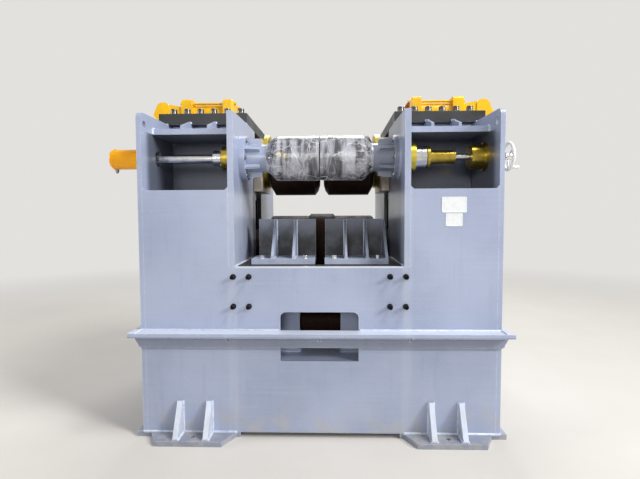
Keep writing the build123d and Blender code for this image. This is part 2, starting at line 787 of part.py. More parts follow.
with BuildPart() as right_press_screw:
    with BuildSketch(Plane.XY.offset(CARRIAGE_TOP)):
        with Locations((SCREW_X, 0)):
            Circle(SCREW_R)
    extrude(amount=SCREW_TOP - CARRIAGE_TOP)
    chamfer(right_press_screw.edges().group_by(Axis.Z)[-1], SCREW_EDGE)
right_press_screw.part.label = "right_press_screw"
export_step(right_press_screw.part, "parts/right_press_screw.step")

with BuildPart() as left_press_screw:
    mirror(right_press_screw.part, about=Plane.YZ)
left_press_screw.part.label = "left_press_screw"
export_step(left_press_screw.part, "parts/left_press_screw.step")

# Bearing discs between the carriages and the rollers, set higher than the shafts that pass through them
with BuildPart() as right_bearing_disc:
    turned(0, PRESS_Z + DISC_RISE, DISC_R, DISC_IN, FACE_IN)
    chamfer(right_bearing_disc.edges().group_by(Axis.X)[0], DISC_EDGE)
    turned(0, PRESS_Z, SHAFT_R + BEARING_GAP, DISC_IN, FACE_IN, mode=Mode.SUBTRACT)
right_bearing_disc.part.label = "right_bearing_disc"
export_step(right_bearing_disc.part, "parts/right_bearing_disc.step")

with BuildPart() as left_bearing_disc:
    mirror(right_bearing_disc.part, about=Plane.YZ)
left_bearing_disc.part.label = "left_bearing_disc"
export_step(left_bearing_disc.part, "parts/left_bearing_disc.step")

# Press rollers, each turned in one piece with its shaft
press_out = DISC_IN - PRESS_END_GAP
with BuildPart() as right_press_roller:
    with BuildSketch(Plane.XZ) as half:
        with BuildLine():
            Polyline(
                (PRESS_IN, PRESS_Z),
                (PRESS_IN, PRESS_Z + PRESS_R - WEB_EDGE_H),
                (PRESS_IN + WEB_NOSE, PRESS_Z + PRESS_R - WEB_EDGE_H + WEB_SHOULDER),
                (PRESS_IN + WEB_EDGE_W, PRESS_Z + PRESS_R),
                (press_out - OUTER_EDGE_W, PRESS_Z + PRESS_R),
                (press_out, PRESS_Z + PRESS_R - OUTER_EDGE_H),
                (press_out, PRESS_Z + SHAFT_R),
                (KEEPER_OUT, PRESS_Z + SHAFT_R),
                (KEEPER_OUT, PRESS_Z),
                close=True,
            )
        make_face()
    revolve(axis=Axis((0, 0, PRESS_Z), (1, 0, 0)))
right_press_roller.part.label = "right_press_roller"
export_step(right_press_roller.part, "parts/right_press_roller.step")

with BuildPart() as left_press_roller:
    mirror(right_press_roller.part, about=Plane.YZ)
left_press_roller.part.label = "left_press_roller"
export_step(left_press_roller.part, "parts/left_press_roller.step")

# Drive units on the top plates: head block, barrel with tie rods, flange block, neck and end cap
with BuildPart() as drive_heads:
    block((HEAD_IN, BARREL_IN), (-UNIT_HALF_D, UNIT_HALF_D), (TOP_Z, UNIT_TOP))
    fillet(drive_heads.edges().filter_by(Axis.X).group_by(Axis.Z)[-1], UNIT_EDGE)
    chamfer(drive_heads.edges().filter_by(Axis.Y).group_by(Axis.Z)[-1].sort_by(Axis.X)[0], UNIT_EDGE)
    mirror(about=Plane.YZ)
drive_heads.part.label = "drive_heads"
export_step(drive_heads.part, "parts/drive_heads.step")

with BuildPart() as drive_barrels:
    turned(0, BARREL_Z, BARREL_R, BARREL_IN, BARREL_OUT)
    for side_y in (-TIE_ROD_OFFSET, TIE_ROD_OFFSET):
        for side_z in (-TIE_ROD_OFFSET, TIE_ROD_OFFSET):
            turned(side_y, BARREL_Z + side_z, TIE_ROD_R, BARREL_IN, BARREL_OUT)
    mirror(about=Plane.YZ)
drive_barrels.part.label = "drive_barrels"
export_step(drive_barrels.part, "parts/drive_barrels.step")

neck_out = UNIT_OUT + NECK_L
dome_out = neck_out + DOME_L
cap_out = dome_out + CAP_L
with BuildPart() as drive_housings:
    block((BARREL_OUT, UNIT_OUT), (-UNIT_HALF_D, UNIT_HALF_D), (TOP_Z, UNIT_TOP))
    fillet(drive_housings.edges().filter_by(Axis.X).group_by(Axis.Z)[-1], UNIT_EDGE)
    with BuildSketch(Plane.XZ.offset(NECK_HALF_D)):
        with BuildLine():
            Polyline(
                (UNIT_OUT, TOP_Z),
                (UNIT_OUT, TOP_Z + NECK_H),
                (neck_out, TOP_Z + NECK_H + NECK_LIFT),
                (neck_out, TOP_Z),
                close=True,
            )
        make_face()
    extrude(amount=-2 * NECK_HALF_D)
    with BuildSketch(Plane.XZ.offset(CAP_HALF_D)) as cap:
        with BuildLine():
            Polyline(
                (neck_out, TOP_Z + CAP_RISE - CAP_L),
                (neck_out, TOP_Z + DOME_H),
                (dome_out, TOP_Z + DOME_H),
                (cap_out, TOP_Z + CAP_RISE + CAP_TIP_H),
                (cap_out, TOP_Z + CAP_RISE),
                (dome_out, TOP_Z + CAP_RISE - CAP_L),
                close=True,
            )
        make_face()
        fillet(cap.vertices().group_by(Axis.Y)[-1], DOME_R)
    extrude(amount=-2 * CAP_HALF_D)
    mirror(about=Plane.YZ)
drive_housings.part.label = "drive_housings"
export_step(drive_housings.part, "parts/drive_housings.step")

# Guide sleeves: a thick flange on the inner wall, a round body and radial ribs
flange_in = HALF_GAP - SLEEVE_FLANGE_T
rib_root = SLEEVE_R - SLEEVE_RIB_ROOT
with BuildPart() as guide_sleeves:
    turned(GUIDE_Y, GUIDE_Z, SLEEVE_FLANGE_R, HALF_GAP, flange_in)
    turned(GUIDE_Y, GUIDE_Z, SLEEVE_R, flange_in, SLEEVE_END)
    for rib in range(SLEEVE_RIBS):
        turn = Rotation(SLEEVE_RIB_TURN + rib * 360 / SLEEVE_RIBS, 0, 0)
        with BuildSketch(Plane(Location((0, GUIDE_Y, GUIDE_Z)) * turn * Location(Plane.XZ))):
            with BuildLine():
                Polyline(
                    (flange_in, rib_root),
                    (flange_in - SLEEVE_RIB_L, rib_root),
                    (flange_in - SLEEVE_RIB_L, SLEEVE_RIB_END_R),
                    (flange_in, SLEEVE_RIB_R),
                    close=True,
                )
            make_face()
        extrude(amount=SLEEVE_RIB_T / 2, both=True)
    turned(GUIDE_Y, GUIDE_Z, GUIDE_ROD_R + ROD_GAP, HALF_GAP, SLEEVE_END, mode=Mode.SUBTRACT)
    mirror(about=Plane.YZ)
guide_sleeves.part.label = "guide_sleeves"
export_step(guide_sleeves.part, "parts/guide_sleeves.step")

# Guide heads: a waisted drum with two rims
with BuildPart() as right_guide_head:
    with BuildSketch(Plane.XZ.offset(-GUIDE_Y)):
        with BuildLine():
            Polyline(
                (GUIDE_CLEAR, GUIDE_Z),
                (GUIDE_CLEAR, GUIDE_Z + HEAD_R - HEAD_EDGE),
                (GUIDE_CLEAR + HEAD_EDGE, GUIDE_Z + HEAD_R),
                (GUIDE_CLEAR + HEAD_RIM_W, GUIDE_Z + HEAD_R),
                (GUIDE_CLEAR + HEAD_RIM_W + HEAD_EDGE, GUIDE_Z + HEAD_WAIST_R),
                (HEAD_END - HEAD_RIM_W - HEAD_EDGE, GUIDE_Z + HEAD_WAIST_R),
                (HEAD_END - HEAD_RIM_W, GUIDE_Z + HEAD_R),
                (HEAD_END - HEAD_EDGE, GUIDE_Z + HEAD_R),
                (HEAD_END, GUIDE_Z + HEAD_R - HEAD_EDGE),
                (HEAD_END, GUIDE_Z),
                close=True,
            )
        make_face()
    revolve(axis=Axis((0, GUIDE_Y, GUIDE_Z), (1, 0, 0)))
right_guide_head.part.label = "right_guide_head"
export_step(right_guide_head.part, "parts/right_guide_head.step")

with BuildPart() as left_guide_head:
    mirror(right_guide_head.part, about=Plane.YZ)
left_guide_head.part.label = "left_guide_head"
export_step(left_guide_head.part, "parts/left_guide_head.step")

# Left guide: hub on the inner wall, rod with its stop collar, cylinder outside the frame
hub_out = INNER_OUT + HUB_L
collar_in = hub_out + STOP_GAP
with BuildPart() as left_hub:
    turned(GUIDE_Y, GUIDE_Z, HUB_R, -INNER_OUT, -hub_out)
    chamfer(left_hub.edges().group_by(Axis.X)[0], HUB_EDGE)
    turned(GUIDE_Y, GUIDE_Z, GUIDE_ROD_R + ROD_GAP, -INNER_OUT, -hub_out, mode=Mode.SUBTRACT)
left_hub.part.label = "left_hub"
export_step(left_hub.part, "parts/left_hub.step")

with BuildPart() as left_guide_rod:
    turned(GUIDE_Y, GUIDE_Z, GUIDE_ROD_R, -HEAD_END, -HALF_W - ROD_IN_CYLINDER)
    turned(GUIDE_Y, GUIDE_Z, COLLAR_R, -collar_in, -collar_in - COLLAR_L)
left_guide_rod.part.label = "left_guide_rod"
export_step(left_guide_rod.part, "parts/left_guide_rod.step")

with BuildPart() as guide_cylinder:
    turned(GUIDE_Y, GUIDE_Z, CYLINDER_R, -HALF_W, -HALF_W - CYLINDER_L)
    fillet(guide_cylinder.edges().group_by(Axis.X)[0], CYLINDER_EDGE)
    bore_end = -HALF_W - CYLINDER_L + CYLINDER_CAP_T
    turned(GUIDE_Y, GUIDE_Z, CYLINDER_BORE_R, -HALF_W, bore_end, mode=Mode.SUBTRACT)
guide_cylinder.part.label = "guide_cylinder"
export_step(guide_cylinder.part, "parts/guide_cylinder.step")

# Right guide: ring and nut on the inner wall, hollow spindle, screw, screw box and handwheel
ring_out = INNER_OUT + RING_L + RING_BASE_T
nut_out = ring_out + NUT_L
shoulder_in = nut_out + STOP_GAP
with BuildPart() as right_ring:
    turned(GUIDE_Y, GUIDE_Z, RING_BASE_R, INNER_OUT, INNER_OUT + RING_BASE_T)
    turned(GUIDE_Y, GUIDE_Z, RING_R, INNER_OUT + RING_BASE_T, ring_out)
    turned(GUIDE_Y, GUIDE_Z, GUIDE_ROD_R + ROD_GAP, INNER_OUT, ring_out, mode=Mode.SUBTRACT)
right_ring.part.label = "right_ring"
export_step(right_ring.part, "parts/right_ring.step")

with BuildPart() as right_nut:
    turned(GUIDE_Y, GUIDE_Z, NUT_R, ring_out, nut_out)
    chamfer(right_nut.edges().group_by(Axis.X)[-1], NUT_EDGE)
    turned(GUIDE_Y, GUIDE_Z, GUIDE_ROD_R + ROD_GAP, ring_out, nut_out, mode=Mode.SUBTRACT)
right_nut.part.label = "right_nut"
export_step(right_nut.part, "parts/right_nut.step")

screw_in = SPINDLE_END - ADJUST_IN
with BuildPart() as right_guide_rod:
    turned(GUIDE_Y, GUIDE_Z, GUIDE_ROD_R, HEAD_END, shoulder_in)
    turned(GUIDE_Y, GUIDE_Z, SHOULDER_R, shoulder_in, shoulder_in + SHOULDER_T)
    turned(GUIDE_Y, GUIDE_Z, SPINDLE_R, shoulder_in + SHOULDER_T, SPINDLE_END)
    turned(
        GUIDE_Y,
        GUIDE_Z,
        ADJUST_R + ADJUST_GAP,
        screw_in - GUIDE_TRAVEL - BORE_ROOM,
        SPINDLE_END,
        mode=Mode.SUBTRACT,
    )
right_guide_rod.part.label = "right_guide_rod"
export_step(right_guide_rod.part, "parts/right_guide_rod.step")

with BuildPart() as screw_box:
    turned(GUIDE_Y, GUIDE_Z, BOX_R, BOX_IN, OUTER_IN - BOX_FLANGE_T)
    turned(GUIDE_Y, GUIDE_Z, BOX_FLANGE_R, OUTER_IN - BOX_FLANGE_T, OUTER_IN)
    turned(GUIDE_Y, GUIDE_Z, SHANK_R + ROD_GAP, BOX_IN, OUTER_IN, mode=Mode.SUBTRACT)
screw_box.part.label = "screw_box"
export_step(screw_box.part, "parts/screw_box.step")

hub_in = WHEEL_X - WHEEL_HUB_L / 2
hub_end = WHEEL_X + WHEEL_HUB_L / 2
spoke_in = WHEEL_HUB_R - SPOKE_SEAT
handle_y = GUIDE_Y + WHEEL_R * cos(radians(HANDLE_ANGLE))
handle_z = GUIDE_Z + WHEEL_R * sin(radians(HANDLE_ANGLE))
with BuildPart() as adjusting_screw:
    turned(GUIDE_Y, GUIDE_Z, ADJUST_R, screw_in, ADJUST_END)
    turned(GUIDE_Y, GUIDE_Z, SHANK_R, ADJUST_END, hub_in)
adjusting_screw.part.label = "adjusting_screw"
export_step(adjusting_screw.part, "parts/adjusting_screw.step")

with BuildPart() as handwheel:
    with BuildSketch(Plane.XZ.offset(-GUIDE_Y)):
        with Locations((WHEEL_X, GUIDE_Z + WHEEL_R)):
            Circle(WHEEL_BAR_R)
    revolve(axis=Axis((0, GUIDE_Y, GUIDE_Z), (1, 0, 0)))
    turned(GUIDE_Y, GUIDE_Z, WHEEL_HUB_R, hub_in, hub_end)
    with Locations(Location((WHEEL_X, GUIDE_Y, GUIDE_Z)) * Rotation(0, 90, 0)):
        with PolarLocations((spoke_in + WHEEL_R) / 2, WHEEL_SPOKES):
            Cylinder(SPOKE_R, WHEEL_R - spoke_in, rotation=(0, 90, 0))
    with Locations((WHEEL_X + (HANDLE_OUT - HANDLE_IN) / 2, handle_y, handle_z)):
        Cylinder(HANDLE_R, HANDLE_IN + HANDLE_OUT, rotation=(0, 90, 0))
handwheel.part.label = "handwheel"
export_step(handwheel.part, "parts/handwheel.step")
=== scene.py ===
"""H-beam straightening machine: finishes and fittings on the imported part. Lengths are in millimetres."""
import math

import bmesh
import bpy
import numpy as np
from mathutils import Matrix, Vector


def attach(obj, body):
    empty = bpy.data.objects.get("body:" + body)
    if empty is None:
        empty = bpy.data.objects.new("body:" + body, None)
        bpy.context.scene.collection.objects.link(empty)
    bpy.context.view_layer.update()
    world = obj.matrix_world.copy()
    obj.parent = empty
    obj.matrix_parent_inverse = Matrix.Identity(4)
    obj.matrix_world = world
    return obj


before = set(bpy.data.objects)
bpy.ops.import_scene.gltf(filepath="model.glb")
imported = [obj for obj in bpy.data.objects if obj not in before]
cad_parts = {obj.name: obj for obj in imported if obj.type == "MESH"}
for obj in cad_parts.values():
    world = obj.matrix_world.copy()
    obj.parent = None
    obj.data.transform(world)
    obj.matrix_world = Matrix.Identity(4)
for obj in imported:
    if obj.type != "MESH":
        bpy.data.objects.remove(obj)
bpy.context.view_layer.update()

MM = 0.001
BACKDROP = (226, 225, 222)


# ---------------------------------------------------------------- camera, floor and lamps

def stand_camera(place, turn_left, tip_down, tilt, lens):
    """The camera at the photograph's place. Angles are in degrees."""
    data = bpy.data.cameras.new("photo_camera")
    data.lens = lens
    data.sensor_width = 36
    camera = bpy.data.objects.new("photo_camera", data)
    bpy.context.scene.collection.objects.link(camera)
    aim = Matrix.Rotation(math.radians(turn_left), 4, "Z")
    aim = aim @ Matrix.Rotation(math.radians(90 - tip_down), 4, "X")
    aim = aim @ Matrix.Rotation(math.radians(-tilt), 4, "Z")
    camera.matrix_world = Matrix.Translation(Vector(place) * MM) @ aim
    bpy.context.scene.camera = camera


def hang_softbox(name, place, target, size, power):
    """A square soft lamp, a few metres off, that faces a point of the machine."""
    data = bpy.data.lights.new(name, "AREA")
    data.shape = "SQUARE"
    data.size = size * MM
    data.energy = power
    lamp = bpy.data.objects.new(name, data)
    bpy.context.scene.collection.objects.link(lamp)
    place, target = Vector(place) * MM, Vector(target) * MM
    lamp.location = place
    lamp.rotation_euler = (target - place).to_track_quat("-Z", "Y").to_euler()


def shade(red, green, blue):
    """A colour as the eye sees it, 0 to 255 each, on the renderer's own scale."""
    return tuple(
        c / 12.92 if c <= 0.04045 else ((c + 0.055) / 1.055) ** 2.4
        for c in (red / 255, green / 255, blue / 255)
    ) + (1.0,)


def light_studio():
    """A pale room: dim even light, a large key lamp from the right and softer lamps on the other sides."""
    world = bpy.data.worlds.new("pale_studio")
    bpy.context.scene.world = world
    world.use_nodes = True
    nodes, links = world.node_tree.nodes, world.node_tree.links
    room = nodes["Background"]
    room.inputs["Color"].default_value = (0.95, 0.97, 1.0, 1)
    room.inputs["Strength"].default_value = 0.1
    backdrop = nodes.new("ShaderNodeBackground")
    backdrop.inputs["Color"].default_value = shade(*BACKDROP)
    rays = nodes.new("ShaderNodeLightPath")
    seen = nodes.new("ShaderNodeMath")
    seen.operation = "MAXIMUM"
    links.new(rays.outputs["Is Camera Ray"], seen.inputs[0])
    links.new(rays.outputs["Is Glossy Ray"], seen.inputs[1])
    mix = nodes.new("ShaderNodeMixShader")
    links.new(seen.outputs[0], mix.inputs[0])
    links.new(room.outputs[0], mix.inputs[1])
    links.new(backdrop.outputs[0], mix.inputs[2])
    links.new(mix.outputs[0], nodes["World Output"].inputs["Surface"])
    hang_softbox("key_lamp", (14500, -9000, 9300), (0, -600, 1200), 4000, 2350)
    hang_softbox("high_lamp", (3900, -2800, 7800), (0, -500, 1200), 2400, 450)
    hang_softbox("front_lamp", (-900, -8600, 3300), (0, -500, 1200), 2600, 205)
    hang_softbox("left_lamp", (-9500, -1100, 4400), (-900, 0, 1200), 3000, 360)
    hang_softbox("rear_lamp", (300, 7000, 8600), (0, 300, 1200), 4000, 640)


def lay_floor():
    """A plain pale floor that reaches past every view."""
    bpy.ops.object.select_all(action="DESELECT")
    bpy.ops.mesh.primitive_plane_add(size=60)
    floor = bpy.context.object
    floor.name = "studio_floor"
    ground = Finish("pale_floor", {"Roughness": 0.75})
    mottle = ground.cloud(0.6, detail=4)
    ground.colour(ground.mix(mottle, (197, 193, 187), (206, 202, 196)))
    far = ground.node("VectorMath", {0: ground.place}, operation="LENGTH").outputs["Value"]
    glow = ground.node("Emission", {"Color": shade(*BACKDROP)}).outputs[0]
    rays = ground.node("LightPath")
    seen = ground.either(rays.outputs["Is Camera Ray"], rays.outputs["Is Glossy Ray"])
    fade_starts, fade_ends = 3.5, 11
    fade = ground.both(ground.between(far, fade_starts, fade_ends), seen)
    blend = ground.node("MixShader", {0: fade, 1: ground.shader.outputs[0], 2: glow})
    ground.links.new(blend.outputs[0], ground.nodes["Material Output"].inputs["Surface"])
    floor.data.materials.append(ground.material)


# ---------------------------------------------------------------- finishes

class Finish:
    """A material made of patterns on the piece's own coordinates, in metres."""

    def __init__(self, name, even=None):
        self.material = bpy.data.materials.new(name)
        self.material.use_nodes = True
        self.nodes = self.material.node_tree.nodes
        self.links = self.material.node_tree.links
        self.shader = self.nodes["Principled BSDF"]
        self.place = self.nodes.new("ShaderNodeTexCoord").outputs["Object"]
        for socket, value in (even or {}).items():
            self.shader.inputs[socket].default_value = value

    def node(self, kind, inputs=None, **settings):
        made = self.nodes.new("ShaderNode" + kind)
        for key, value in settings.items():
            setattr(made, key, value)
        for key, value in (inputs or {}).items():
            if isinstance(value, bpy.types.NodeSocket):
                self.links.new(value, made.inputs[key])
            else:
                made.inputs[key].default_value = value
        return made

    def stretched(self, x, y, z):
        """The piece's coordinates, stretched along the axes, for grain and streaks."""
        return self.node("Mapping", {"Vector": self.place, "Scale": (1 / x, 1 / y, 1 / z)}).outputs[0]

    def cloud(self, size, detail=3.0, rough=0.55, place=None, warp=0.0):
        """Soft noise with patches about that size in metres."""
        inputs = {"Vector": place or self.place, "Scale": 1 / size, "Detail": detail}
        inputs.update({"Roughness": rough, "Distortion": warp})
        return self.node("TexNoise", inputs).outputs["Fac"]

    def warped(self, size, amount, length):
        """The coordinates pushed about by noise, for cells that are bent, and longer across X."""
        inputs = {"Vector": self.place, "Scale": 1 / size, "Detail": 2.0}
        push_by = self.node("TexNoise", inputs).outputs["Color"]
        moved = self.node("VectorMath", {0: push_by, 3: amount}, operation="SCALE").outputs[0]
        bent = self.node("VectorMath", {0: self.place, 1: moved}, operation="ADD").outputs[0]
        return self.node("Mapping", {"Vector": bent, "Scale": (1, 1 / length, 1 / length)}).outputs[0]

    def cells(self, size, feature="F1", place=None):
        """The distance to the middles of cells about that size, or to their edges."""
        inputs = {"Vector": place or self.place, "Scale": 1 / size}
        return self.node("TexVoronoi", inputs, feature=feature).outputs["Distance"]

    def between(self, value, low, high, start=0.0, end=1.0):
        """Maps a value from low..high to start..end and holds it there."""
        inputs = {"Value": value, "From Min": low, "From Max": high, "To Min": start, "To Max": end}
        return self.node("MapRange", inputs, interpolation_type="SMOOTHSTEP").outputs[0]

    def reckon(self, operation, *values):
        return self.node("Math", dict(enumerate(values)), operation=operation).outputs[0]

    def both(self, first, *others):
        """Where all of the masks are 1."""
        for other in others:
            first = self.reckon("MULTIPLY", first, other)
        return first

    def either(self, first, second):
        """Where one of two masks is 1."""
        return self.reckon("MAXIMUM", first, second)

    def mix(self, mask, under, over):
        """One colour over another. A plain colour is three numbers, as the eye sees it."""
        under, over = (shade(*c) if isinstance(c, tuple) else c for c in (under, over))
        return self.node("Mix", {0: mask, 6: under, 7: over}, data_type="RGBA").outputs[2]

    def laid(self, base, mask, share, tone):
        """The base with that share of a tone laid over it where the mask is 1."""
        return self.mix(self.between(mask, 0, 1, 0, share), base, tone)

    def edges(self, width):
        """A mask that is 1 along the piece's sharp edges."""
        rounded = self.node("Bevel", {"Radius": width}, samples=6).outputs[0]
        flat = self.node("NewGeometry").outputs["True Normal"]
        across = self.node("VectorMath", {0: rounded, 1: flat}, operation="DOT_PRODUCT").outputs["Value"]
        return self.between(across, 0.98, 0.65)

    def facing(self, name, normal="True Normal"):
        """How far the surface faces along that axis."""
        return self.node("SeparateXYZ", {0: self.node("NewGeometry").outputs[normal]}).outputs[name]

    def lathe_rings(self, pitch):
        """Fine rings round the X axis, that far apart in metres."""
        return self.reckon("SINE", self.reckon("MULTIPLY", self.axis("X"), 2 * math.pi / pitch))

    def axis(self, name):
        return self.node("SeparateXYZ", {0: self.place}).outputs[name]

    def away(self, name):
        """The distance from the middle plane across that axis."""
        return self.reckon("ABSOLUTE", self.axis(name))

    def within(self, value, low, high, soft):
        """A mask that is 1 between two values and falls off softly outside them."""
        return self.both(self.between(value, low - soft, low), self.between(value, high + soft, high))

    def colour(self, value):
        self.links.new(value, self.shader.inputs["Base Color"])

    def gloss(self, value):
        self.links.new(value, self.shader.inputs["Roughness"])

    def relief(self, value, depth, strength):
        """Adds a bump of that depth in metres to the surface."""
        inputs = {"Height": value, "Distance": depth, "Strength": strength}
        before = self.shader.inputs["Normal"].links
        if before:
            inputs["Normal"] = before[0].from_socket
        bump = self.node("Bump", inputs)
        self.links.new(bump.outputs[0], self.shader.inputs["Normal"])


def frame_enamel():
    """Sprayed grey-blue enamel on welded plate, with rolled streaks, ground seams, dust, painted shade and
    painted highlights.
    """
    f = Finish("frame_enamel", {"Specular IOR Level": 0.45, "Coat Weight": 0.22, "Coat Roughness": 0.2})
    x, y, z = f.away("X"), f.away("Y"), f.axis("Z")
    patch = f.cloud(0.55, detail=4)
    base = f.mix(f.between(patch, 0.3, 0.7), (150, 160, 185), (165, 174, 199))
    streak = f.cloud(0.02, detail=3, place=f.stretched(22, 22, 1))
    base = f.mix(f.between(streak, 0.45, 0.75, 0, 0.16), base, (182, 189, 206))
    rolled = f.cloud(0.05, detail=4, place=f.stretched(1, 1, 9))
    base = f.mix(f.between(rolled, 0.52, 0.78, 0, 0.24), base, (128, 137, 160))
    grain = f.cloud(0.007, detail=3, rough=0.7)
    base = f.mix(f.between(grain, 0.3, 0.7, 0, 0.3), base, (128, 135, 152))
    speck = f.cells(0.016)
    base = f.mix(f.between(speck, 0.16, 0.05, 0, 0.4), base, (196, 201, 212))

    # Where the painted shade, painted highlights and stains lie: from the middle planes, from the floor, or
    # on the right side alone.
    seam_x, seam_z = (0.562, 0.598), (0.05, 1.64)
    window_x, window_z = (0.603, 1.172), (1.674, 2.067)
    lip_z, gusset_z = (1.152, 1.165), (0.046, 0.3)
    slot_x, slot_z, wall_x = (0.5605, 0.7), (1.17, 1.64), (0.555, 0.562)
    sleeve_x, sleeve_y, sleeve_z = (0.36, 0.545), (-0.82, -0.49), (1.74, 2.08)
    right_wall_x = (0.5595, 0.5605)
    band_z, shelf_z = (0.6, 0.712), (0.72, 0.75)

    # The ground seams of the plates beside the gap.
    seam = f.both(f.within(x, *seam_x, 0.03), f.within(z, *seam_z, 0.03))
    seam = f.both(seam, f.between(rolled, 0.3, 0.7, 0.05, 0.34))
    base = f.mix(seam, base, (186, 192, 204))
    # Painted shade deep in the windows, and a painted highlight on the upper edge of the front plate.
    deep = f.both(f.between(y, 0.915, 0.78), f.within(z, *window_z, 0.004), f.within(x, *window_x, 0.004))
    base = f.laid(base, deep, 0.8, (58, 60, 68))
    lip = f.both(f.between(y, 0.905, 0.912), f.within(z, *lip_z, 0.002), f.between(x, 0.556, 0.552))
    base = f.laid(base, lip, 0.8, (206, 210, 216))
    # Painted shade on the feet near the floor, partly dirt, and a painted highlight on the front edges of
    # the gussets on them.
    foot = f.both(f.between(z, 0.042, 0.036), f.between(y, 0.93, 0.95))
    base = f.laid(base, foot, 0.6, (112, 114, 120))
    rim = f.both(f.between(y, 0.955, 0.965), f.within(z, *gusset_z, 0.01))
    base = f.laid(base, rim, 0.75, (208, 216, 230))
    # Painted shade in the slots, and beside them on the inner walls painted shade with some grease.
    slot_shade = f.both(f.between(y, 0.1515, 0.1505), f.within(x, *slot_x, 0.0005))
    wall_shade_and_grease = f.both(f.between(y, 0.36, 0.15), f.between(f.cloud(0.12, detail=4), 0.3, 0.5))
    wall_shade_and_grease = f.both(f.either(wall_shade_and_grease, f.between(y, 0.3, 0.235)), f.within(x, *wall_x, 0.001))
    slot_shade = f.both(f.either(slot_shade, wall_shade_and_grease), f.within(z, *slot_z, 0.06))
    base = f.laid(base, slot_shade, 0.9, (30, 26, 25))
    # Painted shade on the right guide's sleeve and on the right inner wall.
    sleeve_shade = f.both(f.within(f.axis("X"), *sleeve_x, 0.004), f.within(z, *sleeve_z, 0.004))
    sleeve_shade = f.both(sleeve_shade, f.within(f.axis("Y"), *sleeve_y, 0.004))
    base = f.laid(base, sleeve_shade, 0.55, (70, 71, 77))
    right_wall_shade = f.both(f.within(f.axis("X"), *right_wall_x, 0.0003), f.between(z, 1.1, 1.17))
    right_wall_shade = f.both(right_wall_shade, f.between(y, 0.9, 0.7))
    base = f.laid(base, right_wall_shade, 0.4, (50, 44, 44))
    # Painted shadow on the band under the shelf, and painted light on the shelf's top.
    under = f.both(f.within(z, *band_z, 0.004), f.between(y, 0.944, 0.946))
    base = f.laid(base, under, 0.5, (104, 108, 120))
    shelf_top_light = f.both(f.between(f.facing("Z"), 0.9, 0.98), f.within(z, *shelf_z, 0.002))
    base = f.laid(base, shelf_top_light, 0.7, (206, 212, 224))
    # Dust near the floor, and paler edges: paint worn off, and a painted highlight along them.
    dust = f.both(f.between(z, 0.42, 0.0), f.between(f.cloud(0.09, detail=5), 0.35, 0.7))
    base = f.laid(base, dust, 0.5, (172, 167, 158))
    edge_wear_and_highlight = f.both(f.edges(0.007), f.between(f.cloud(0.03, detail=5), 0.3, 0.52))
    base = f.laid(base, edge_wear_and_highlight, 0.8, (208, 214, 226))
    f.colour(base)
    f.gloss(f.between(patch, 0.3, 0.75, 0.32, 0.48))
    f.relief(f.cloud(0.004, detail=2), 0.00025, 0.5)
    f.relief(f.cloud(0.12, detail=2), 0.0015, 0.35)
    return f.material


def bracket_enamel():
    """The same enamel on the brackets, with painted shade darkening the bays between the ribs, and paler
    edges that are partly a painted highlight.
    """
    f = Finish("bracket_enamel", {"Specular IOR Level": 0.4})
    y, z = f.away("Y"), f.axis("Z")
    patch = f.cloud(0.1, detail=5)
    base = f.mix(f.between(patch, 0.3, 0.7), (150, 159, 182), (172, 180, 200))
    # Painted shade in the bays between the ribs, darkest low down and on the faces across Y.
    bay = f.both(f.between(y, 0.782, 0.6), f.between(z, 1.475, 1.3, 0.7, 1.0))
    flat = f.between(f.reckon("ABSOLUTE", f.facing("Y", "Normal")), 0.4, 0.9, 0.35, 1.0)
    grime_and_shade = f.both(bay, flat, f.between(patch, 0.25, 0.6, 0.85, 1.0))
    base = f.mix(grime_and_shade, base, (26, 27, 30))
    # Paler edges: worn paint, and a painted highlight on the ribs' front edges.
    edge = f.both(f.edges(0.006), f.between(f.cloud(0.03, detail=5), 0.3, 0.5))
    base = f.laid(base, edge, 0.8, (206, 212, 222))
    f.colour(base)
    f.gloss(f.between(patch, 0.3, 0.7, 0.35, 0.55))
    f.relief(f.cloud(0.005, detail=3), 0.0004, 0.5)
    return f.material


def oily_table():
    """Dark oily mill scale on the table between the brackets, rubbed brighter along its edges."""
    f = Finish("oily_table", {"Metallic": 0.2, "Specular IOR Level": 0.25})
    patch = f.cloud(0.12, detail=6, rough=0.65)
    base = f.mix(f.between(patch, 0.35, 0.68), (30, 29, 30), (52, 49, 47))
    base = f.laid(base, f.edges(0.006), 0.5, (126, 124, 122))
    f.colour(base)
    f.gloss(f.between(patch, 0.3, 0.7, 0.45, 0.65))
    f.relief(f.cloud(0.01, detail=4), 0.0006, 0.5)
    return f.material


def weld_enamel():
    """The frame's enamel over weld beads, painted lighter than the frame as a highlight on the beads, and
    paler still in small spots.
    """
    f = Finish("weld_enamel", {"Specular IOR Level": 0.6})
    patch = f.cloud(0.03, detail=4)
    base = f.mix(f.between(patch, 0.3, 0.7), (176, 185, 204), (202, 208, 220))
    spot = f.between(f.cells(0.011), 0.2, 0.05, 0, 0.6)
    f.colour(f.mix(spot, base, (222, 226, 232)))
    f.gloss(f.between(patch, 0.3, 0.7, 0.25, 0.45))
    f.relief(f.cloud(0.005, detail=3), 0.0006, 0.5)
    return f.material


def white_grip():
    """Moulded white plastic, a little yellowed and scuffed."""
    f = Finish("white_grip", {"Specular IOR Level": 0.5})
    patch = f.cloud(0.012, detail=4)
    f.colour(f.mix(f.between(patch, 0.4, 0.75), (236, 234, 226), (214, 208, 194)))
    f.gloss(f.between(patch, 0.3, 0.7, 0.3, 0.5))
    f.relief(f.cloud(0.002, detail=2), 0.0001, 0.4)
    return f.material


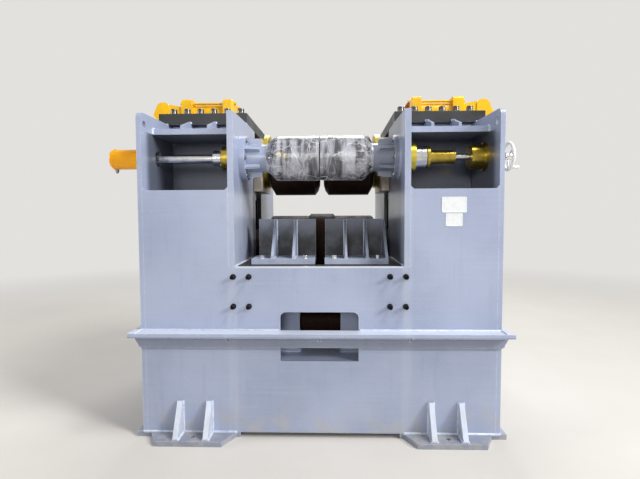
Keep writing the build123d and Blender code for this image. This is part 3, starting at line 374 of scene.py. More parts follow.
def black_plate():
    """Charcoal painted plate with a bluish bloom and scuffed edges."""
    f = Finish("black_plate_paint")
    patch = f.cloud(0.2, detail=5)
    base = f.mix(f.between(patch, 0.3, 0.7), (24, 25, 27), (36, 37, 39))
    edge = f.edges(0.006)
    base = f.mix(f.both(edge, f.between(f.cloud(0.05, detail=4), 0.4, 0.6)), base, (120, 122, 124))
    f.colour(base)
    f.gloss(f.between(patch, 0.3, 0.7, 0.38, 0.55))
    f.relief(f.cloud(0.006, detail=3), 0.0003, 0.5)
    return f.material


def roller_black(name, dark, light, rusty, rub, ring, metal):
    """Turned steel under black oxide, with the lathe's rings round the X axis."""
    f = Finish(name, {"Metallic": metal, "Specular IOR Level": 0.05 + metal / 2})
    patch = f.cloud(0.14, detail=6, rough=0.65)
    base = f.mix(f.between(patch, 0.35, 0.68), dark, light)
    base = f.mix(f.between(f.cloud(0.05, detail=6, rough=0.7), 0.52, 0.72), base, rusty)
    base = f.laid(base, f.edges(0.008), 0.5, rub)
    f.colour(base)
    f.gloss(f.between(patch, 0.3, 0.7, 0.42, 0.6))
    f.relief(f.lathe_rings(ring), 0.00006, 0.4)
    return f.material


def yellow_zinc(name, gold, deep, green, pink):
    """Yellow chromate on turned steel: gold with green and pink clouds."""
    f = Finish(name, {"Metallic": 1.0})
    cloud = f.cloud(0.14, detail=2, warp=0.6)
    base = f.mix(f.between(cloud, 0.35, 0.6), gold, deep)
    base = f.mix(f.between(f.cloud(0.11, detail=2, warp=0.8), 0.5, 0.75, 0, 0.5), base, green)
    base = f.mix(f.between(f.cloud(0.12, detail=2), 0.58, 0.8, 0, 0.4), base, pink)
    f.colour(base)
    f.gloss(f.between(cloud, 0.3, 0.7, 0.24, 0.36))
    f.relief(f.lathe_rings(0.003), 0.00006, 0.15)
    return f.material


def bright_steel(name, tone, low, high):
    """Ground or turned bright steel with a little oil."""
    f = Finish(name, {"Metallic": 1.0})
    cloud = f.cloud(0.05, detail=5)
    f.colour(f.mix(f.between(cloud, 0.3, 0.75), tone, tuple(c * 0.86 for c in tone)))
    f.gloss(f.between(cloud, 0.3, 0.7, low, high))
    f.relief(f.lathe_rings(0.0008), 0.00004, 0.3)
    return f.material


def bare_steel():
    """Machined carriage sides: dull grey-beige steel with oily brown patches."""
    f = Finish("bare_machined_steel", {"Metallic": 0.7})
    patch = f.cloud(0.16, detail=6, rough=0.6)
    base = f.mix(f.between(patch, 0.32, 0.68), (190, 180, 166), (152, 139, 124))
    base = f.mix(f.between(f.cloud(0.04, detail=6), 0.56, 0.75, 0, 0.7), base, (104, 74, 52))
    f.colour(base)
    f.gloss(f.between(patch, 0.3, 0.7, 0.38, 0.55))
    grain = f.cloud(0.0016, detail=2, place=f.stretched(1, 1, 30))
    f.relief(grain, 0.0001, 0.3)
    return f.material


def machine_paint(name, bright, deep):
    """Thick glossy machine paint with soft runs and worn edges."""
    f = Finish(name, {"Coat Weight": 0.15, "Coat Roughness": 0.2, "Specular IOR Level": 0.35})
    patch = f.cloud(0.12, detail=4)
    base = f.mix(f.between(patch, 0.3, 0.7), bright, deep)
    grime_and_shade = f.between(f.cloud(0.05, detail=6, rough=0.7), 0.62, 0.8, 0, 0.35)
    base = f.mix(grime_and_shade, base, (120, 84, 30))
    edge = f.edges(0.005)
    base = f.mix(f.both(edge, f.between(f.cloud(0.03, detail=5), 0.5, 0.62)), base, (250, 226, 150))
    f.colour(base)
    f.gloss(f.between(patch, 0.3, 0.7, 0.26, 0.42))
    f.relief(f.cloud(0.012, detail=3), 0.0006, 0.4)
    return f.material


def clear_film():
    """Crumpled clear packing film in a few layers: silvery where it is thick, open where it is thin, with
    painted sheen bands, painted shade in its folds and painted highlights on its creases.
    """
    f = Finish("packing_film", {"Coat Weight": 0.35, "Coat Roughness": 0.14, "Specular IOR Level": 0.4})
    x, y, z = f.axis("X"), f.axis("Y"), f.axis("Z")
    # Sheen bands round the film, dark to light: painted reflection.
    sheen_bands = f.cloud(0.055, detail=2, place=f.stretched(1, 6, 6), warp=0.25)
    haze = f.cloud(0.12, detail=3, warp=0.6)
    base = f.mix(f.between(sheen_bands, 0.38, 0.6), (74, 74, 80), (168, 169, 178))
    base = f.mix(f.between(haze, 0.46, 0.66, 0, 0.5), base, (198, 199, 206))
    fold = f.cloud(0.03, detail=5, rough=0.7, warp=1.2)
    # Painted shade in the folds, with more of it at the film's top and bottom rims.
    rim = f.either(f.between(z, 2.005, 2.045), f.between(z, 1.80, 1.77))
    dark = f.either(f.between(fold, 0.56, 0.68), f.both(rim, f.between(fold, 0.4, 0.55)))
    base = f.laid(base, dark, 0.6, (56, 56, 61))
    # The film's top painted darker still: painted shade.
    base = f.mix(f.between(z, 2.0, 2.05, 0, 0.8), base, (52, 52, 57))
    fans = f.between(f.cells(0.1, "DISTANCE_TO_EDGE", place=f.warped(0.09, 0.05, 2.2)), 0.018, 0.004)
    fine = f.between(f.cells(0.04, "DISTANCE_TO_EDGE", place=f.warped(0.05, 0.03, 1.6)), 0.026, 0.006)
    gathers = f.between(f.cloud(0.016, detail=2, place=f.stretched(9, 1, 1)), 0.54, 0.62)
    gathers = f.both(gathers, f.between(f.away("X"), 0.2, 0.33))
    crease = f.either(fans, f.both(fine, f.between(haze, 0.38, 0.55)))
    crease = f.either(crease, gathers)
    # Pale crease lines: a painted highlight where the creases catch the light.
    base = f.laid(base, crease, 0.5, (238, 239, 244))
    f.colour(base)
    f.gloss(f.between(haze, 0.3, 0.7, 0.16, 0.34))
    open_x, open_z = (-0.3, -0.225), (1.895, 1.94)
    open_spot = f.both(f.within(x, *open_x, 0.03), f.within(z, *open_z, 0.025), f.between(y, -0.72, -0.76))
    open_spot = f.both(open_spot, f.between(fold, 0.38, 0.6, 1.0, 0.1))
    thin = f.either(open_spot, f.between(f.cloud(0.17, detail=1), 0.34, 0.26))
    f.links.new(f.between(thin, 0.0, 1.0, 0.97, 0.5), f.shader.inputs["Alpha"])
    f.relief(crease, 0.0016, 0.6)
    f.relief(fold, 0.004, 0.6)
    return f.material


def label_white():
    """A bare printed-metal plate: satin white with faint handling marks."""
    f = Finish("label_plate_white", {"Specular IOR Level": 0.6})
    f.colour(f.mix(f.between(f.cloud(0.02, detail=5), 0.4, 0.75), (222, 225, 226), (213, 216, 218)))
    f.gloss(f.between(f.cloud(0.03, detail=3), 0.3, 0.7, 0.34, 0.42))
    return f.material


FINISHES = {}


def paint_nodes():
    """Gives every carried-over part its finish."""
    FINISHES.update(
        frame=frame_enamel(),
        top=black_plate(),
        press=roller_black(
            "black_oxide", (44, 32, 30), (58, 44, 40), (66, 44, 34), (120, 112, 104), ring=0.0009, metal=0.2
        ),
        drive=roller_black(
            "rusty_roll", (26, 17, 13), (38, 24, 17), (56, 30, 16), (58, 36, 22), ring=0.002, metal=0.0
        ),
        dark=roller_black(
            "black_cylinder_paint", (12, 12, 13), (20, 20, 21), (30, 28, 27), (70, 70, 70),
            ring=0.0009, metal=0.0,
        ),
        bracket=bracket_enamel(),
        table=oily_table(),
        spindle=yellow_zinc("dull_zinc", (192, 166, 74), (160, 136, 52), (128, 116, 54), (176, 144, 90)),
        zinc=yellow_zinc("yellow_zinc", (222, 204, 104), (196, 176, 72), (158, 158, 84), (220, 184, 150)),
        bright=bright_steel("bright_turned_steel", (214, 214, 216), 0.14, 0.26),
        chrome=bright_steel("handwheel_chrome", (228, 228, 226), 0.06, 0.14),
        fastener=bright_steel("oiled_fastener_steel", (132, 130, 128), 0.28, 0.42),
        black_bolt=bright_steel("black_bolt", (96, 92, 88), 0.2, 0.34),
        bare=bare_steel(),
        yellow=machine_paint("drive_unit_yellow", (242, 190, 10), (228, 173, 8)),
        orange=machine_paint("cylinder_orange", (255, 184, 10), (255, 170, 8)),
        port_red=machine_paint("port_cap_red", (196, 92, 40), (160, 66, 30)),
        film=clear_film(),
        label=label_white(),
        bead=weld_enamel(),
        grip=white_grip(),
    )
    painted = {
        "top": "top_plates",
        "press": "left_press_roller right_press_roller",
        "drive": "drive_roller cross_shaft",
        "dark": "drive_chocks return_barrels",
        "bright": "left_return_rod right_return_rod left_guide_rod right_nut adjusting_screw",
        "bare": "left_carriage right_carriage",
        "fastener": "left_press_screw right_press_screw",
        "zinc": "left_bearing_disc right_bearing_disc left_guide_head right_guide_head right_ring",
        "spindle": "right_guide_rod left_hub screw_box",
        "table": "table_plate",
        "bracket": "front_brackets rear_brackets",
        "chrome": "handwheel",
        "orange": "guide_cylinder",
        "yellow": "drive_heads drive_barrels drive_housings",
    }
    wanted = {name: finish for finish, names in painted.items() for name in names.split()}
    for name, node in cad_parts.items():
        finish = FINISHES[wanted.get(name, "frame")]
        for place in node.material_slots:
            place.material = finish
        if not node.material_slots:
            node.data.materials.append(finish)


# ---------------------------------------------------------------- ways of working

def clear_bench():
    """Leaves edit mode with nothing selected."""
    if bpy.context.object and bpy.context.object.mode == "EDIT":
        bpy.ops.object.mode_set(mode="OBJECT")
    bpy.ops.object.select_all(action="DESELECT")


def open_piece(piece):
    """Edit mode on that piece alone, with nothing picked."""
    clear_bench()
    piece.select_set(True)
    bpy.context.view_layer.objects.active = piece
    bpy.ops.object.mode_set(mode="EDIT")
    bpy.ops.mesh.select_all(action="DESELECT")


def grab_all():
    """Edit mode with everything picked."""
    bpy.ops.object.mode_set(mode="EDIT")
    bpy.ops.mesh.select_all(action="SELECT")


def close_piece(soft=35):
    """Merges doubles, turns faces outwards and shades edges under that many degrees smooth."""
    bpy.ops.mesh.select_all(action="SELECT")
    bpy.ops.mesh.remove_doubles(threshold=0.000001)
    bpy.ops.mesh.normals_make_consistent(inside=False)
    bpy.ops.object.mode_set(mode="OBJECT")
    bpy.ops.object.transform_apply(location=True, rotation=True, scale=True)
    bpy.ops.object.shade_smooth_by_angle(angle=math.radians(soft))


def pick_faces(piece, test):
    """Picks the faces whose centre, in millimetres, and normal pass the test."""
    bpy.ops.mesh.select_mode(type="FACE")
    bpy.ops.mesh.select_all(action="DESELECT")
    cage = bmesh.from_edit_mesh(piece.data)
    for face in cage.faces:
        face.select_set(bool(test(face.calc_center_median() / MM, face.normal)))
    bmesh.update_edit_mesh(piece.data)


def pick_edges(piece, test):
    """Picks the edges whose two ends, in millimetres, pass the test."""
    bpy.ops.mesh.select_mode(type="EDGE")
    bpy.ops.mesh.select_all(action="DESELECT")
    cage = bmesh.from_edit_mesh(piece.data)
    for edge in cage.edges:
        edge.select_set(bool(test(edge.verts[0].co / MM, edge.verts[1].co / MM)))
    bmesh.update_edit_mesh(piece.data)


def push(x, y, z):
    """Extrudes what is picked by that much."""
    bpy.ops.mesh.extrude_region_move(TRANSFORM_OT_translate={"value": (x * MM, y * MM, z * MM)})


def lathe(name, rings, sides, soft=35):
    """A closed round piece on the Z axis, grown ring by ring from pairs of radius and height."""
    clear_bench()
    radius, height = rings[0]
    bpy.ops.mesh.primitive_circle_add(
        vertices=sides, radius=radius * MM, fill_type="NGON", location=(0, 0, height * MM)
    )
    piece = bpy.context.object
    piece.name = name
    bpy.ops.object.transform_apply(location=True)
    grab_all()
    for wide, tall in rings[1:]:
        push(0, 0, tall - height)
        bpy.ops.transform.resize(value=(wide / radius, wide / radius, 1), center_override=(0, 0, 0))
        radius, height = wide, tall
    close_piece(soft)
    return piece


def slab(name, width, depth, height, corner, edge):
    """A plate on the floor's origin with rounded corners and a broken upper edge."""
    clear_bench()
    bpy.ops.mesh.primitive_cube_add(size=1, location=(0, 0, height * MM / 2))
    piece = bpy.context.object
    piece.name = name
    piece.scale = (width * MM, depth * MM, height * MM)
    bpy.ops.object.transform_apply(location=True, scale=True)
    open_piece(piece)
    pick_edges(piece, lambda a, b: abs(a.z - b.z) > height / 2)
    bpy.ops.mesh.bevel(offset=corner * MM, segments=4, affect="EDGES")
    pick_edges(piece, lambda a, b: min(a.z, b.z) > height - 0.01)
    bpy.ops.mesh.bevel(offset=edge * MM, segments=1, affect="EDGES")
    close_piece()
    return piece


def socket_screw(name, radius, height, key, depth, sides=24):
    """A cap screw with a hexagon socket."""
    piece = lathe(name, [(radius, 0), (radius, height * 0.86), (radius * 0.9, height)], sides)
    open_piece(piece)
    pick_faces(piece, lambda c, n: n.z > 0.9 and c.z > height - 0.01)
    bpy.ops.mesh.delete(type="ONLY_FACE")
    bpy.ops.mesh.primitive_circle_add(vertices=6, radius=key * MM, location=(0, 0, height * MM))
    pick_edges(piece, lambda a, b: min(a.z, b.z) > height - 0.01)
    bpy.ops.mesh.bridge_edge_loops()
    socket = key + 0.1
    pick_edges(piece, lambda a, b: min(a.z, b.z) > height - 0.01 and max(a.xy.length, b.xy.length) < socket)
    bpy.ops.mesh.extrude_edges_move(TRANSFORM_OT_translate={"value": (0, 0, -depth * MM)})
    bpy.ops.mesh.edge_face_add()
    close_piece()
    return piece


def hexagon_bolt(name, across, height, washer, proud=0.0):
    """A hexagon head or nut on a washer, with the thread's end standing proud of a nut."""
    clear_bench()
    corner, chamfer, dome, bore = across / math.sqrt(3), 0.1 * across, 0.05 * across, 0.28 * across
    thick = 4
    bpy.ops.mesh.primitive_cylinder_add(vertices=6, radius=corner * MM, depth=height * MM)
    head = bpy.context.object
    bpy.ops.object.mode_set(mode="EDIT")
    pick_faces(head, lambda c, n: n.z > 0.9)
    bpy.ops.mesh.inset(thickness=chamfer * MM, depth=0)
    bpy.ops.transform.translate(value=(0, 0, dome * MM))
    pick_faces(head, lambda c, n: n.z < -0.9)
    bpy.ops.mesh.inset(thickness=chamfer * MM, depth=0)
    close_piece(20)
    head.data.transform(Matrix.Translation((0, 0, (height / 2 + thick) * MM)))
    rings = [(washer, 0), (washer, 3.4), (washer - 1, thick)]
    if proud:
        top = height + thick + dome + proud
        rings += [(bore, thick), (bore, top - 2), (bore * 0.8, top)]
    shank = lathe(name + "_shank", rings, 20)
    return joined(name, [head, shank])


def joined(name, pieces):
    """Several pieces as one."""
    clear_bench()
    for piece in pieces:
        piece.select_set(True)
    bpy.context.view_layer.objects.active = pieces[0]
    if len(pieces) > 1:
        bpy.ops.object.join()
    piece = bpy.context.object
    piece.name = name
    piece.data.name = name
    clear_bench()
    return piece


def seated(place, outward, turn=0.0):
    """Where a piece goes that was made on the floor's origin: its foot at the place, its top outwards."""
    aim = Vector(outward).to_track_quat("Z", "Y").to_matrix().to_4x4()
    return Matrix.Translation(Vector(place) * MM) @ aim @ Matrix.Rotation(math.radians(turn), 4, "Z")


def copied(pattern, seat):
    """A copy of a pattern with its own mesh, moved to its seat."""
    copy = pattern.copy()
    copy.data = pattern.data.copy()
    copy.data.transform(seat)
    bpy.context.scene.collection.objects.link(copy)
    return copy


def set_out(name, pattern, seats, finish):
    """Copies of a pattern at all its seats, joined in one piece of the frame."""
    fitted(joined(name, [copied(pattern, seat) for seat in seats]), "frame", finish)
    bpy.data.objects.remove(pattern)


def fitted(piece, body, finish):
    """Gives a piece its finish and its body."""
    piece.data.materials.clear()
    piece.data.materials.append(FINISHES[finish])
    for face in piece.data.polygons:
        face.material_index = 0
    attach(piece, body)


# ---------------------------------------------------------------- weld beads

BEAD_PITCH = 13
BEAD_UNITS = (5, 14, 40, 100)
BEAD_TURN = 17
BEAD_END = 3
RIPPLE_SWELL = 1.22
RIPPLE_LEAN = 0.2
RIPPLE_WOBBLE = 0.09


def bead_pattern(units):
    """A closed weld bead along Z, one ripple for each unit, of 1 mm radius so that it scales to any leg."""
    clear_bench()
    bpy.ops.mesh.primitive_cylinder_add(
        vertices=8, radius=MM, depth=BEAD_PITCH * MM, end_fill_type="NOTHING",
        location=(0, 0, BEAD_PITCH * MM / 2),
    )
    bead = bpy.context.object
    bead.name = f"bead_{units}"
    bpy.ops.object.transform_apply(location=True)
    bpy.ops.object.mode_set(mode="EDIT")
    pick_edges(bead, lambda a, b: abs(a.z - b.z) > BEAD_PITCH / 2)
    bpy.ops.mesh.subdivide(number_cuts=1)
    pick_edges(bead, lambda a, b: abs(a.z - BEAD_PITCH / 2) < 0.1 and abs(b.z - BEAD_PITCH / 2) < 0.1)
    bpy.ops.transform.resize(value=(RIPPLE_SWELL, RIPPLE_SWELL, 1), center_override=(0, 0, 0))
    bpy.ops.transform.translate(value=(0, 0, RIPPLE_LEAN * BEAD_PITCH * MM))
    bpy.ops.object.mode_set(mode="OBJECT")
    row = bead.modifiers.new("ripples", "ARRAY")
    row.count = units
    row.use_relative_offset = False
    row.use_constant_offset = True
    row.constant_offset_displace = (0, 0, BEAD_PITCH * MM)
    row.use_merge_vertices = True
    row.merge_threshold = 0.00001
    bpy.ops.object.modifier_apply(modifier="ripples")
    grab_all()
    bpy.ops.transform.vertex_random(offset=RIPPLE_WOBBLE * MM, seed=units)
    bpy.ops.mesh.select_all(action="SELECT")
    bpy.ops.mesh.fill_holes(sides=8)
    for end, sign in ((0, -1), (units * BEAD_PITCH, 1)):
        pick_faces(bead, lambda c, n: abs(c.z - end) < 0.3 and abs(n.z) > 0.8)
        push(0, 0, sign * BEAD_END)
        bpy.ops.transform.resize(value=(0.5, 0.5, 1))
    close_piece(60)
    return bead


def lay_welds(name, patterns, runs, finish="bead"):
    """Beads along runs, given as start, end and leg, with the pattern whose ripples fit best."""
    beads = []
    for start, end, leg in runs:
        start, end = Vector(start), Vector(end)
        length = (end - start).length
        units = min(BEAD_UNITS, key=lambda n: abs(math.log(length / (n * BEAD_PITCH))))
        stretch = Matrix.Diagonal((leg, leg, length / (units * BEAD_PITCH), 1))
        beads.append(copied(patterns[units], seated(start, end - start, BEAD_TURN) @ stretch))
    fitted(joined(name, beads), "frame", finish)


def quarters(runs):
    """Runs given for the right side and the front, repeated on the left and at the rear."""
    made = []
    for (ax, ay, az), (bx, by, bz), leg in runs:
        for side in (-1, 1):
            for end in (-1, 1):
                made.append(((ax * side, -ay * end, az), (bx * side, -by * end, bz), leg))
    return made


def weld_feet(patterns):
    """The feet under the front plates and outer walls, and the gussets on their lugs."""
    front, side, foot = -946, 1201, 36
    feet = [((562, front, foot), (1198, front, foot), 9), ((side, 2, foot), (side, -940, foot), 9)]
    for gusset in (742, 940):
        for face in (gusset - 17, gusset + 17):
            feet.append(((face, front, 38), (face, front, 250), 8))
            feet.append(((face, -950, foot), (face, -1064, foot), 8))
    lay_welds("foot_welds", patterns, quarters(feet))


def weld_shelf(patterns):
    """The shelf's plate, the stitches along the foot of its band, and the gussets under it."""
    front, side, top, under_top, band_foot = -946, 1201, 735, 706, 621
    shelf = [((270, front, top), (1196, front, top), 7), ((side, 0, top), (side, -1040, top), 7)]
    shelf += [((a, -966, under_top), (b, -966, under_top), 6) for a, b in ((300, 590), (620, 1196))]
    lay_welds("shelf_welds", patterns, quarters(shelf))
    stitch, pitch = 62, 118
    band = [((x, -947, band_foot), (x + stitch, -947, band_foot), 7) for x in range(292, 1150, pitch)]
    band += [((1202, -y, band_foot), (1202, -y - stitch, band_foot), 7) for y in range(40, 860, pitch)]
    lay_welds("band_welds", patterns, quarters(band), "frame")
    gussets = [((x, -968, 704), (x, -968, 664), 5) for x in (597, 613, 8)]
    lay_welds("shelf_gusset_welds", patterns, quarters(gussets))


def weld_windows(patterns):
    """The window compartments inside, and the gussets between the roof plates and the top plates."""
    near, far, back = 602, 1168, -366
    floor, roof, roof_top = 1670, 2066, 2109
    window = [((x, back, 1672), (x, back, 2064), 7) for x in (near, far)]
    window.append(((606, back, floor), (1164, back, floor), 7))
    window += [((x, -370, 1669), (x, -912, 1669), 7) for x in (near, far)]
    window.append(((606, back, roof), (1164, back, roof), 7))
    lay_welds("window_welds", patterns, quarters(window), "frame")
    above = [((606, -367, roof_top), (1164, -367, roof_top), 7)]
    above += [((x, -372, roof_top), (x, -752, roof_top), 8) for x in (near, far)]
    above += [((x, -757, 2070), (x, -757, 2106), leg) for x, leg in ((near, 7), (far, 9))]
    for gusset in (808.5, 1003.5):
        for face in (gusset - 10, gusset + 10):
            above.append(((face, -370, roof_top), (face, -634, roof_top), 7))
            above.append(((face, -367, 2112), (face, -367, 2196), 7))
            above.append(((face, -456, 2204), (face, -456, 2218), 7))
    lay_welds("gusset_welds", patterns, quarters(above))


def weld_top_and_table(patterns):
    """The tops of the towers round the top plates, and the table with its brackets' ribs."""
    partition, edge = -366, -456
    top = [((602, -150, 2199), (602, -450, 2199), 7)]
    spans = ((606, 790, 7), (826, 986, 7), (1020, 1166, 9))
    top += [((a, partition, 2198), (b, partition, 2198), leg) for a, b, leg in spans]
    top.append(((1201, -2, 2199), (1201, -450, 2199), 8))
    top += [((a, edge, 2201), (b, edge, 2201), 7) for a, b in ((1172, 1198), (562, 598))]
    lay_welds("top_plate_welds", patterns, quarters(top))
    wall, table_top, deck = 559, 1199, 527
    table = [((wall, -330, 1161), (wall, -908, 1161), 7), ((wall, -2, 524), (wall, -905, 524), 7)]
    for rib in (175, 323.5):
        for face in (rib, rib + 18):
            table.append(((face, -780, table_top), (face, -564, table_top), 5))
            table.append(((face, -561, 1202), (face, -561, 1464), 5))
    table.append(((146, -742, deck), (146, -448, deck), 7))
    table.append(((150, -746, deck), (326, -746, deck), 7))
    lay_welds("table_welds", patterns, quarters(table))


def weld_frame():
    """The seams that show on the portal, in groups by where they are."""
    patterns = {units: bead_pattern(units) for units in BEAD_UNITS}
    for weld_group in (weld_feet, weld_shelf, weld_windows, weld_top_and_table):
        weld_group(patterns)
    for pattern in patterns.values():
        bpy.data.objects.remove(pattern)


# ---------------------------------------------------------------- screws, studs, plates and small fittings

TOP_FACE = 2285
FRONT_FACE = 945
GUIDE_Y = -655
GUIDE_Z = 1910


def ring_of(x, radius, count, first, outward, turn=0.0, centre=(GUIDE_Y, GUIDE_Z)):
    """Seats evenly round an axis along X, from the first angle on, facing left (-1) or right (1)."""
    y, z = centre
    seats = []
    for k in range(count):
        a = math.radians(first + 360 / count * k)
        seats.append(seated((x, y + radius * math.cos(a), z + radius * math.sin(a)), (outward, 0, 0), turn))
    return seats


def screw_top_plates():
    """Two rows of socket screws on each top plate, in front of the drive unit and behind it."""
    screw = socket_screw("top_screw", radius=25, height=38, key=12, depth=20)
    seats = [
        seated((side * x, y, TOP_FACE), (0, 0, 1), 7 * k)
        for side in (-1, 1)
        for k, x in enumerate(613 + 104.4 * n for n in range(6))
        for y in (-425, 425)
    ]
    set_out("top_plate_screws", screw, seats, "black_bolt")


def stud_plates():
    """Threaded studs that stand out of the front and rear plates beside the gap."""
    crest, root, pitch = 13.5, 12, 3.4
    thread = []
    for k in range(9):
        thread += [(crest, 12 + pitch * k), (root, 13.7 + pitch * k)]
    washer = [(19, 0), (19, 5), (17, 8), (crest, 8)]
    stud = lathe("plate_stud", washer + thread + [(crest, 42.6), (11, 45)], 20, 25)
    seats = [
        seated((x, side * FRONT_FACE, z), (0, side, 0), 11 * k)
        for side in (-1, 1)
        for k, x in enumerate((-571, -467, 467, 571))
        for z in (895, 1093)
    ]
    set_out("plate_studs", stud, seats, "dark")


def bolt_brackets():
    """Hexagon bolts through the feet of the brackets."""
    bolt = hexagon_bolt("bracket_bolt", across=30, height=18, washer=21)
    seats = [
        seated((side * x, end * 765, 1198), (0, 0, 1), 13 * k)
        for side in (-1, 1)
        for end in (-1, 1)
        for k, x in enumerate((102, 405))
    ]
    set_out("bracket_bolts", bolt, seats, "bright")


def screw_guides():
    """Socket screws of the sleeves' flanges, the ring, the screw box and the bearing chocks."""
    screw = socket_screw("flange_screw", radius=13, height=9, key=7, depth=6, sides=20)
    washer = lathe("flange_washer", [(19, 0), (19, 1.6), (18, 2.4), (13, 2.4)], 20)
    seats = []
    for side in (-1, 1):
        seats += ring_of(side * 516, 137, 6, 5, -side, 9)
    set_out("sleeve_washers", washer, seats, "bright")
    seats += ring_of(620, 126, 8, 22.5, 1, 5)
    seats += ring_of(-698, 70, 4, 45, -1, 5)
    set_out("guide_screws", screw, seats, "fastener")
    small = socket_screw("box_screw", radius=7, height=7, key=3.6, depth=5, sides=16)
    seats = ring_of(1150, 94, 6, 30, -1)
    seats += ring_of(1200, 60, 6, 0, 1)
    set_out("screw_box_screws", small, seats, "fastener")
    chock = socket_screw("chock_screw", radius=13, height=6, key=7, depth=5, sides=20)
    drive_axis = (0, 1230)
    seats = []
    for side in (-1, 1):
        seats += ring_of(side * 702, 108, 4, 45, side, 4, drive_axis)
    set_out("chock_screws", chock, seats, "fastener")


def label_plates():
    """Two bare plates, riveted on the right tower's face."""
    made = []
    rivet = lathe("label_rivet", [(4.2, 0), (4.2, 0.8), (3.4, 1.8), (1.6, 2.4)], 12)
    inset = 9
    for name, z, width, height in (("upper", 1563, 161, 102), ("lower", 1465.5, 109, 85)):
        plate = slab(f"label_{name}", width, height, 2.6, corner=7, edge=0.6)
        open_piece(plate)
        pick_faces(plate, lambda c, n: n.z > 0.9 and abs(c.x) < 5)
        bpy.ops.mesh.inset(thickness=5 * MM, depth=0)
        bpy.ops.mesh.inset(thickness=1 * MM, depth=-0.8 * MM)
        close_piece()
        made.append(plate)
        place = seated((879.5, -FRONT_FACE, z), (0, -1, 0))
        for x in (-1, 1):
            for y in (-1, 1):
                corner = Vector((x * (width / 2 - inset), y * (height / 2 - inset), 2)) * MM
                made.append(copied(rivet, place @ Matrix.Translation(corner)))
        plate.data.transform(place)
    bpy.data.objects.remove(rivet)
    fitted(joined("label_plates", made), "frame", "label")


def dress_handwheel():
    """The thick white rim of the handwheel and the white grips on its handle."""
    rim_x, rim_r, tube = 1339, 94, 11.5
    angle = math.radians(239.5)
    y, z = GUIDE_Y + rim_r * math.cos(angle), GUIDE_Z + rim_r * math.sin(angle)
    rings = [(10.6, 0), (12, 1.5), (13.2, 6), (12.4, 15), (11.6, 22), (12.6, 31), (13, 36)]
    rings += [(11.4, 41), (7, 42.5)]
    grip = lathe("handle_grip", rings, 24, 60)
    grip.data.transform(seated((1350, y, z), (1, 0, 0)))
    boss = lathe("handle_boss", [(10.4, 0), (12.6, 1.2), (12.6, 11), (11.4, 13), (10.4, 13.4)], 24, 60)
    boss.data.transform(seated((1316, y, z), (1, 0, 0)))
    fitted(joined("handle_grip", [grip, boss]), "wheel", "grip")
    clear_bench()
    top = (rim_x * MM, GUIDE_Y * MM, (GUIDE_Z + rim_r) * MM)
    bpy.ops.mesh.primitive_circle_add(vertices=14, radius=tube * MM, location=top)
    rim = bpy.context.object
    rim.name = "handwheel_rim"
    bpy.ops.object.transform_apply(location=True)
    grab_all()
    bpy.ops.transform.rotate(value=math.radians(90), orient_axis="X", center_override=top)
    bpy.ops.mesh.spin(
        steps=72, angle=2 * math.pi, center=(rim_x * MM, GUIDE_Y * MM, GUIDE_Z * MM), axis=(1, 0, 0)
    )
    close_piece(60)
    middle = Vector((rim_x, GUIDE_Y, GUIDE_Z))

    def hollowed(p):
        """True on the rim's outer face, for every other 15 degrees round it."""
        bearing = math.degrees(math.atan2(p.z - GUIDE_Z, p.y - GUIDE_Y))
        return p.x > 1345 and (p - middle).length > 88 and int(bearing / 15 + 24) % 2

    open_piece(rim)
    pick_edges(rim, lambda a, b: hollowed(a) and hollowed(b))
    bpy.ops.transform.translate(value=(-0.8 * MM, 0, 0))
    close_piece(60)
    fitted(rim, "wheel", "grip")


def fit_guide_cylinder():
    """The hose fitting under the orange cylinder, left bare, and the rings at the cylinder's two ends."""
    flange, waist, nut = [(15, -2), (15, 5), (11, 6)], [(11, 9), (14, 10)], [(14, 19), (11, 20)]
    spout = [(8, 20), (8, 26), (6.5, 28), (4, 28), (4, 24)]
    nipple = lathe("cylinder_fitting", flange + waist + nut + spout, 18)
    nipple.data.transform(seated((-1478, GUIDE_Y, GUIDE_Z - 71), (0, 0, -1)))
    fitted(nipple, "frame", "fastener")
    ring = lathe("cylinder_ring", [(71, 0), (75, 1), (75, 9), (71, 10)], 64)
    port = lathe("wall_ring", [(71, 0), (88, 0.01), (88, 9), (84, 12), (71, 12.1)], 64)
    ring.data.transform(seated((-1488, GUIDE_Y, GUIDE_Z), (1, 0, 0)))
    port.data.transform(seated((-1200, GUIDE_Y, GUIDE_Z), (-1, 0, 0)))
    fitted(joined("cylinder_rings", [ring, port]), "frame", "orange")


def fit_units():
    """Nuts, port caps and end-cap details of the four-bolt drive units."""
    nut = hexagon_bolt("tie_nut", across=24, height=9, washer=14, proud=3)
    upper_rod, lower_rod, axis = 2456, 2308, 2382
    seats = []
    for side in (-1, 1):
        for y in (-74, 74):
            seats.append(seated((side * 1189, y, upper_rod), (side, 0, 0), 8))
            for z in (upper_rod, lower_rod):
                seats.append(seated((side * 744, y, z), (-side, 0, 0), 21))
    set_out("tie_rod_nuts", nut, seats, "yellow")
    cap = lathe("port_cap", [(22, 0), (22, 6), (18, 8), (18, 17), (15, 19), (8, 19), (8, 24), (6, 26)], 24)
    seats = [seated((744, y, z), (-1, 0, 0), 6) for y, z in ((-44, 2436), (-40, 2372), (36, 2436))]
    set_out("port_caps", cap, seats, "port_red")
    band = lathe("barrel_band", [(80, 0), (83, 1), (83, 13), (80, 14)], 48)
    seats = [seated((side * x, 0, axis), (side, 0, 0)) for side in (-1, 1) for x in (838, 1084)]
    set_out("barrel_bands", band, seats, "yellow")


# ---------------------------------------------------------------- packing film

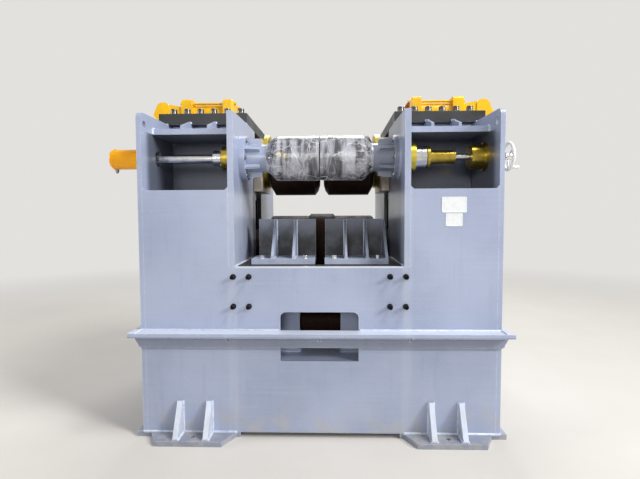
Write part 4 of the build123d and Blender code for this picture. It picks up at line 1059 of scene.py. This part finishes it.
def wrap_guide(name, side, seed):
    """Clear film wound round a guide head, gathered on the sleeve and tucked in between the heads."""
    rng = np.random.default_rng(seed)
    around, along = 300, 130
    broad_waves, creases, deepest = 9, 22, 4.2
    gather_starts, gather_length, pleats = 300, 60, 11
    path = [(4.6, 98), (3.6, 126), (2.8, 144), (3, 149), (6, 150.8), (20, 151.2), (60, 151.6)]
    path += [(160, 151), (292, 151.4), (312, 148), (332, 133), (350, 115), (362, 104.5), (374, 101.5)]
    knots = np.array(path, float)
    run = np.concatenate([[0], np.cumsum(np.hypot(*np.diff(knots, axis=0).T))])
    at = np.linspace(0, run[-1], along)
    x = np.interp(at, run, knots[:, 0])[:, None]
    r = np.interp(at, run, knots[:, 1])[:, None]
    theta = np.linspace(0, 2 * np.pi, around, endpoint=False)[None, :]
    fold = np.zeros((along, around))
    for _ in range(broad_waves):
        turns = rng.integers(1, 4)
        slope = rng.uniform(-5, 5)
        fold += rng.uniform(0.2, 0.7) * np.sin(turns * theta + slope * x / 100 + rng.uniform(0, 6.3))
    for _ in range(creases):
        centre, bearing = rng.uniform(0, 320), rng.uniform(0, 6.3)
        lean = rng.uniform(-1, 1) * 60 * np.exp(-centre / 120) + rng.uniform(-14, 14)
        turn = np.angle(np.exp(1j * (theta - bearing)))
        line = x - centre - lean * turn - 4 * np.sin(3 * theta + rng.uniform(0, 6.3))
        reach = np.exp(-((turn / rng.uniform(0.5, 1.3)) ** 2))
        fold += rng.uniform(0.5, 1.5) * reach * np.exp(-((line / rng.uniform(1.8, 4.5)) ** 2))
    fold = fold - fold.min()
    fold *= deepest / fold.max()
    gather = np.clip((x - gather_starts) / gather_length, 0, 1)
    pleat = 1.8 * np.abs(np.sin(pleats * theta + 2 * np.sin(2 * theta))) * np.sin(np.pi * gather)
    ease = np.clip((r - 120) / 28, 0.12, 1)
    radius = r + 0.6 + ease * fold + pleat
    radius = radius + 3 * ease * (1 - np.sin(theta))
    y = GUIDE_Y + radius * np.cos(theta)
    z = GUIDE_Z + radius * np.sin(theta)
    points = np.stack([np.broadcast_to(side * x, y.shape), y, z], axis=-1).reshape(-1, 3) * MM
    faces = []
    for i in range(along - 1):
        for j in range(around):
            k = (j + 1) % around
            quad = (i * around + j, i * around + k, (i + 1) * around + k, (i + 1) * around + j)
            faces.append(quad if side > 0 else quad[::-1])
    mesh = bpy.data.meshes.new(name)
    mesh.from_pydata(points.tolist(), [], faces)
    film = bpy.data.objects.new(name, mesh)
    bpy.context.scene.collection.objects.link(film)
    open_piece(film)
    bpy.ops.mesh.select_all(action="SELECT")
    bpy.ops.mesh.normals_make_consistent(inside=False)
    bpy.ops.object.mode_set(mode="OBJECT")
    bpy.ops.object.shade_smooth()
    body = "left_guide" if side < 0 else "right_guide"
    fitted(film, body, "film")


stand_camera((86.4, -3726.2, 1487.2), turn_left=1.63, tip_down=3.037, tilt=0.252, lens=23.845)
light_studio()
lay_floor()
paint_nodes()
weld_frame()
screw_top_plates()
stud_plates()
bolt_brackets()
screw_guides()
label_plates()
dress_handwheel()
fit_guide_cylinder()
fit_units()
wrap_guide("left_film", side=-1, seed=11)
wrap_guide("right_film", side=1, seed=23)

view_settings = bpy.context.scene.view_settings
view_settings.view_transform = "Standard"
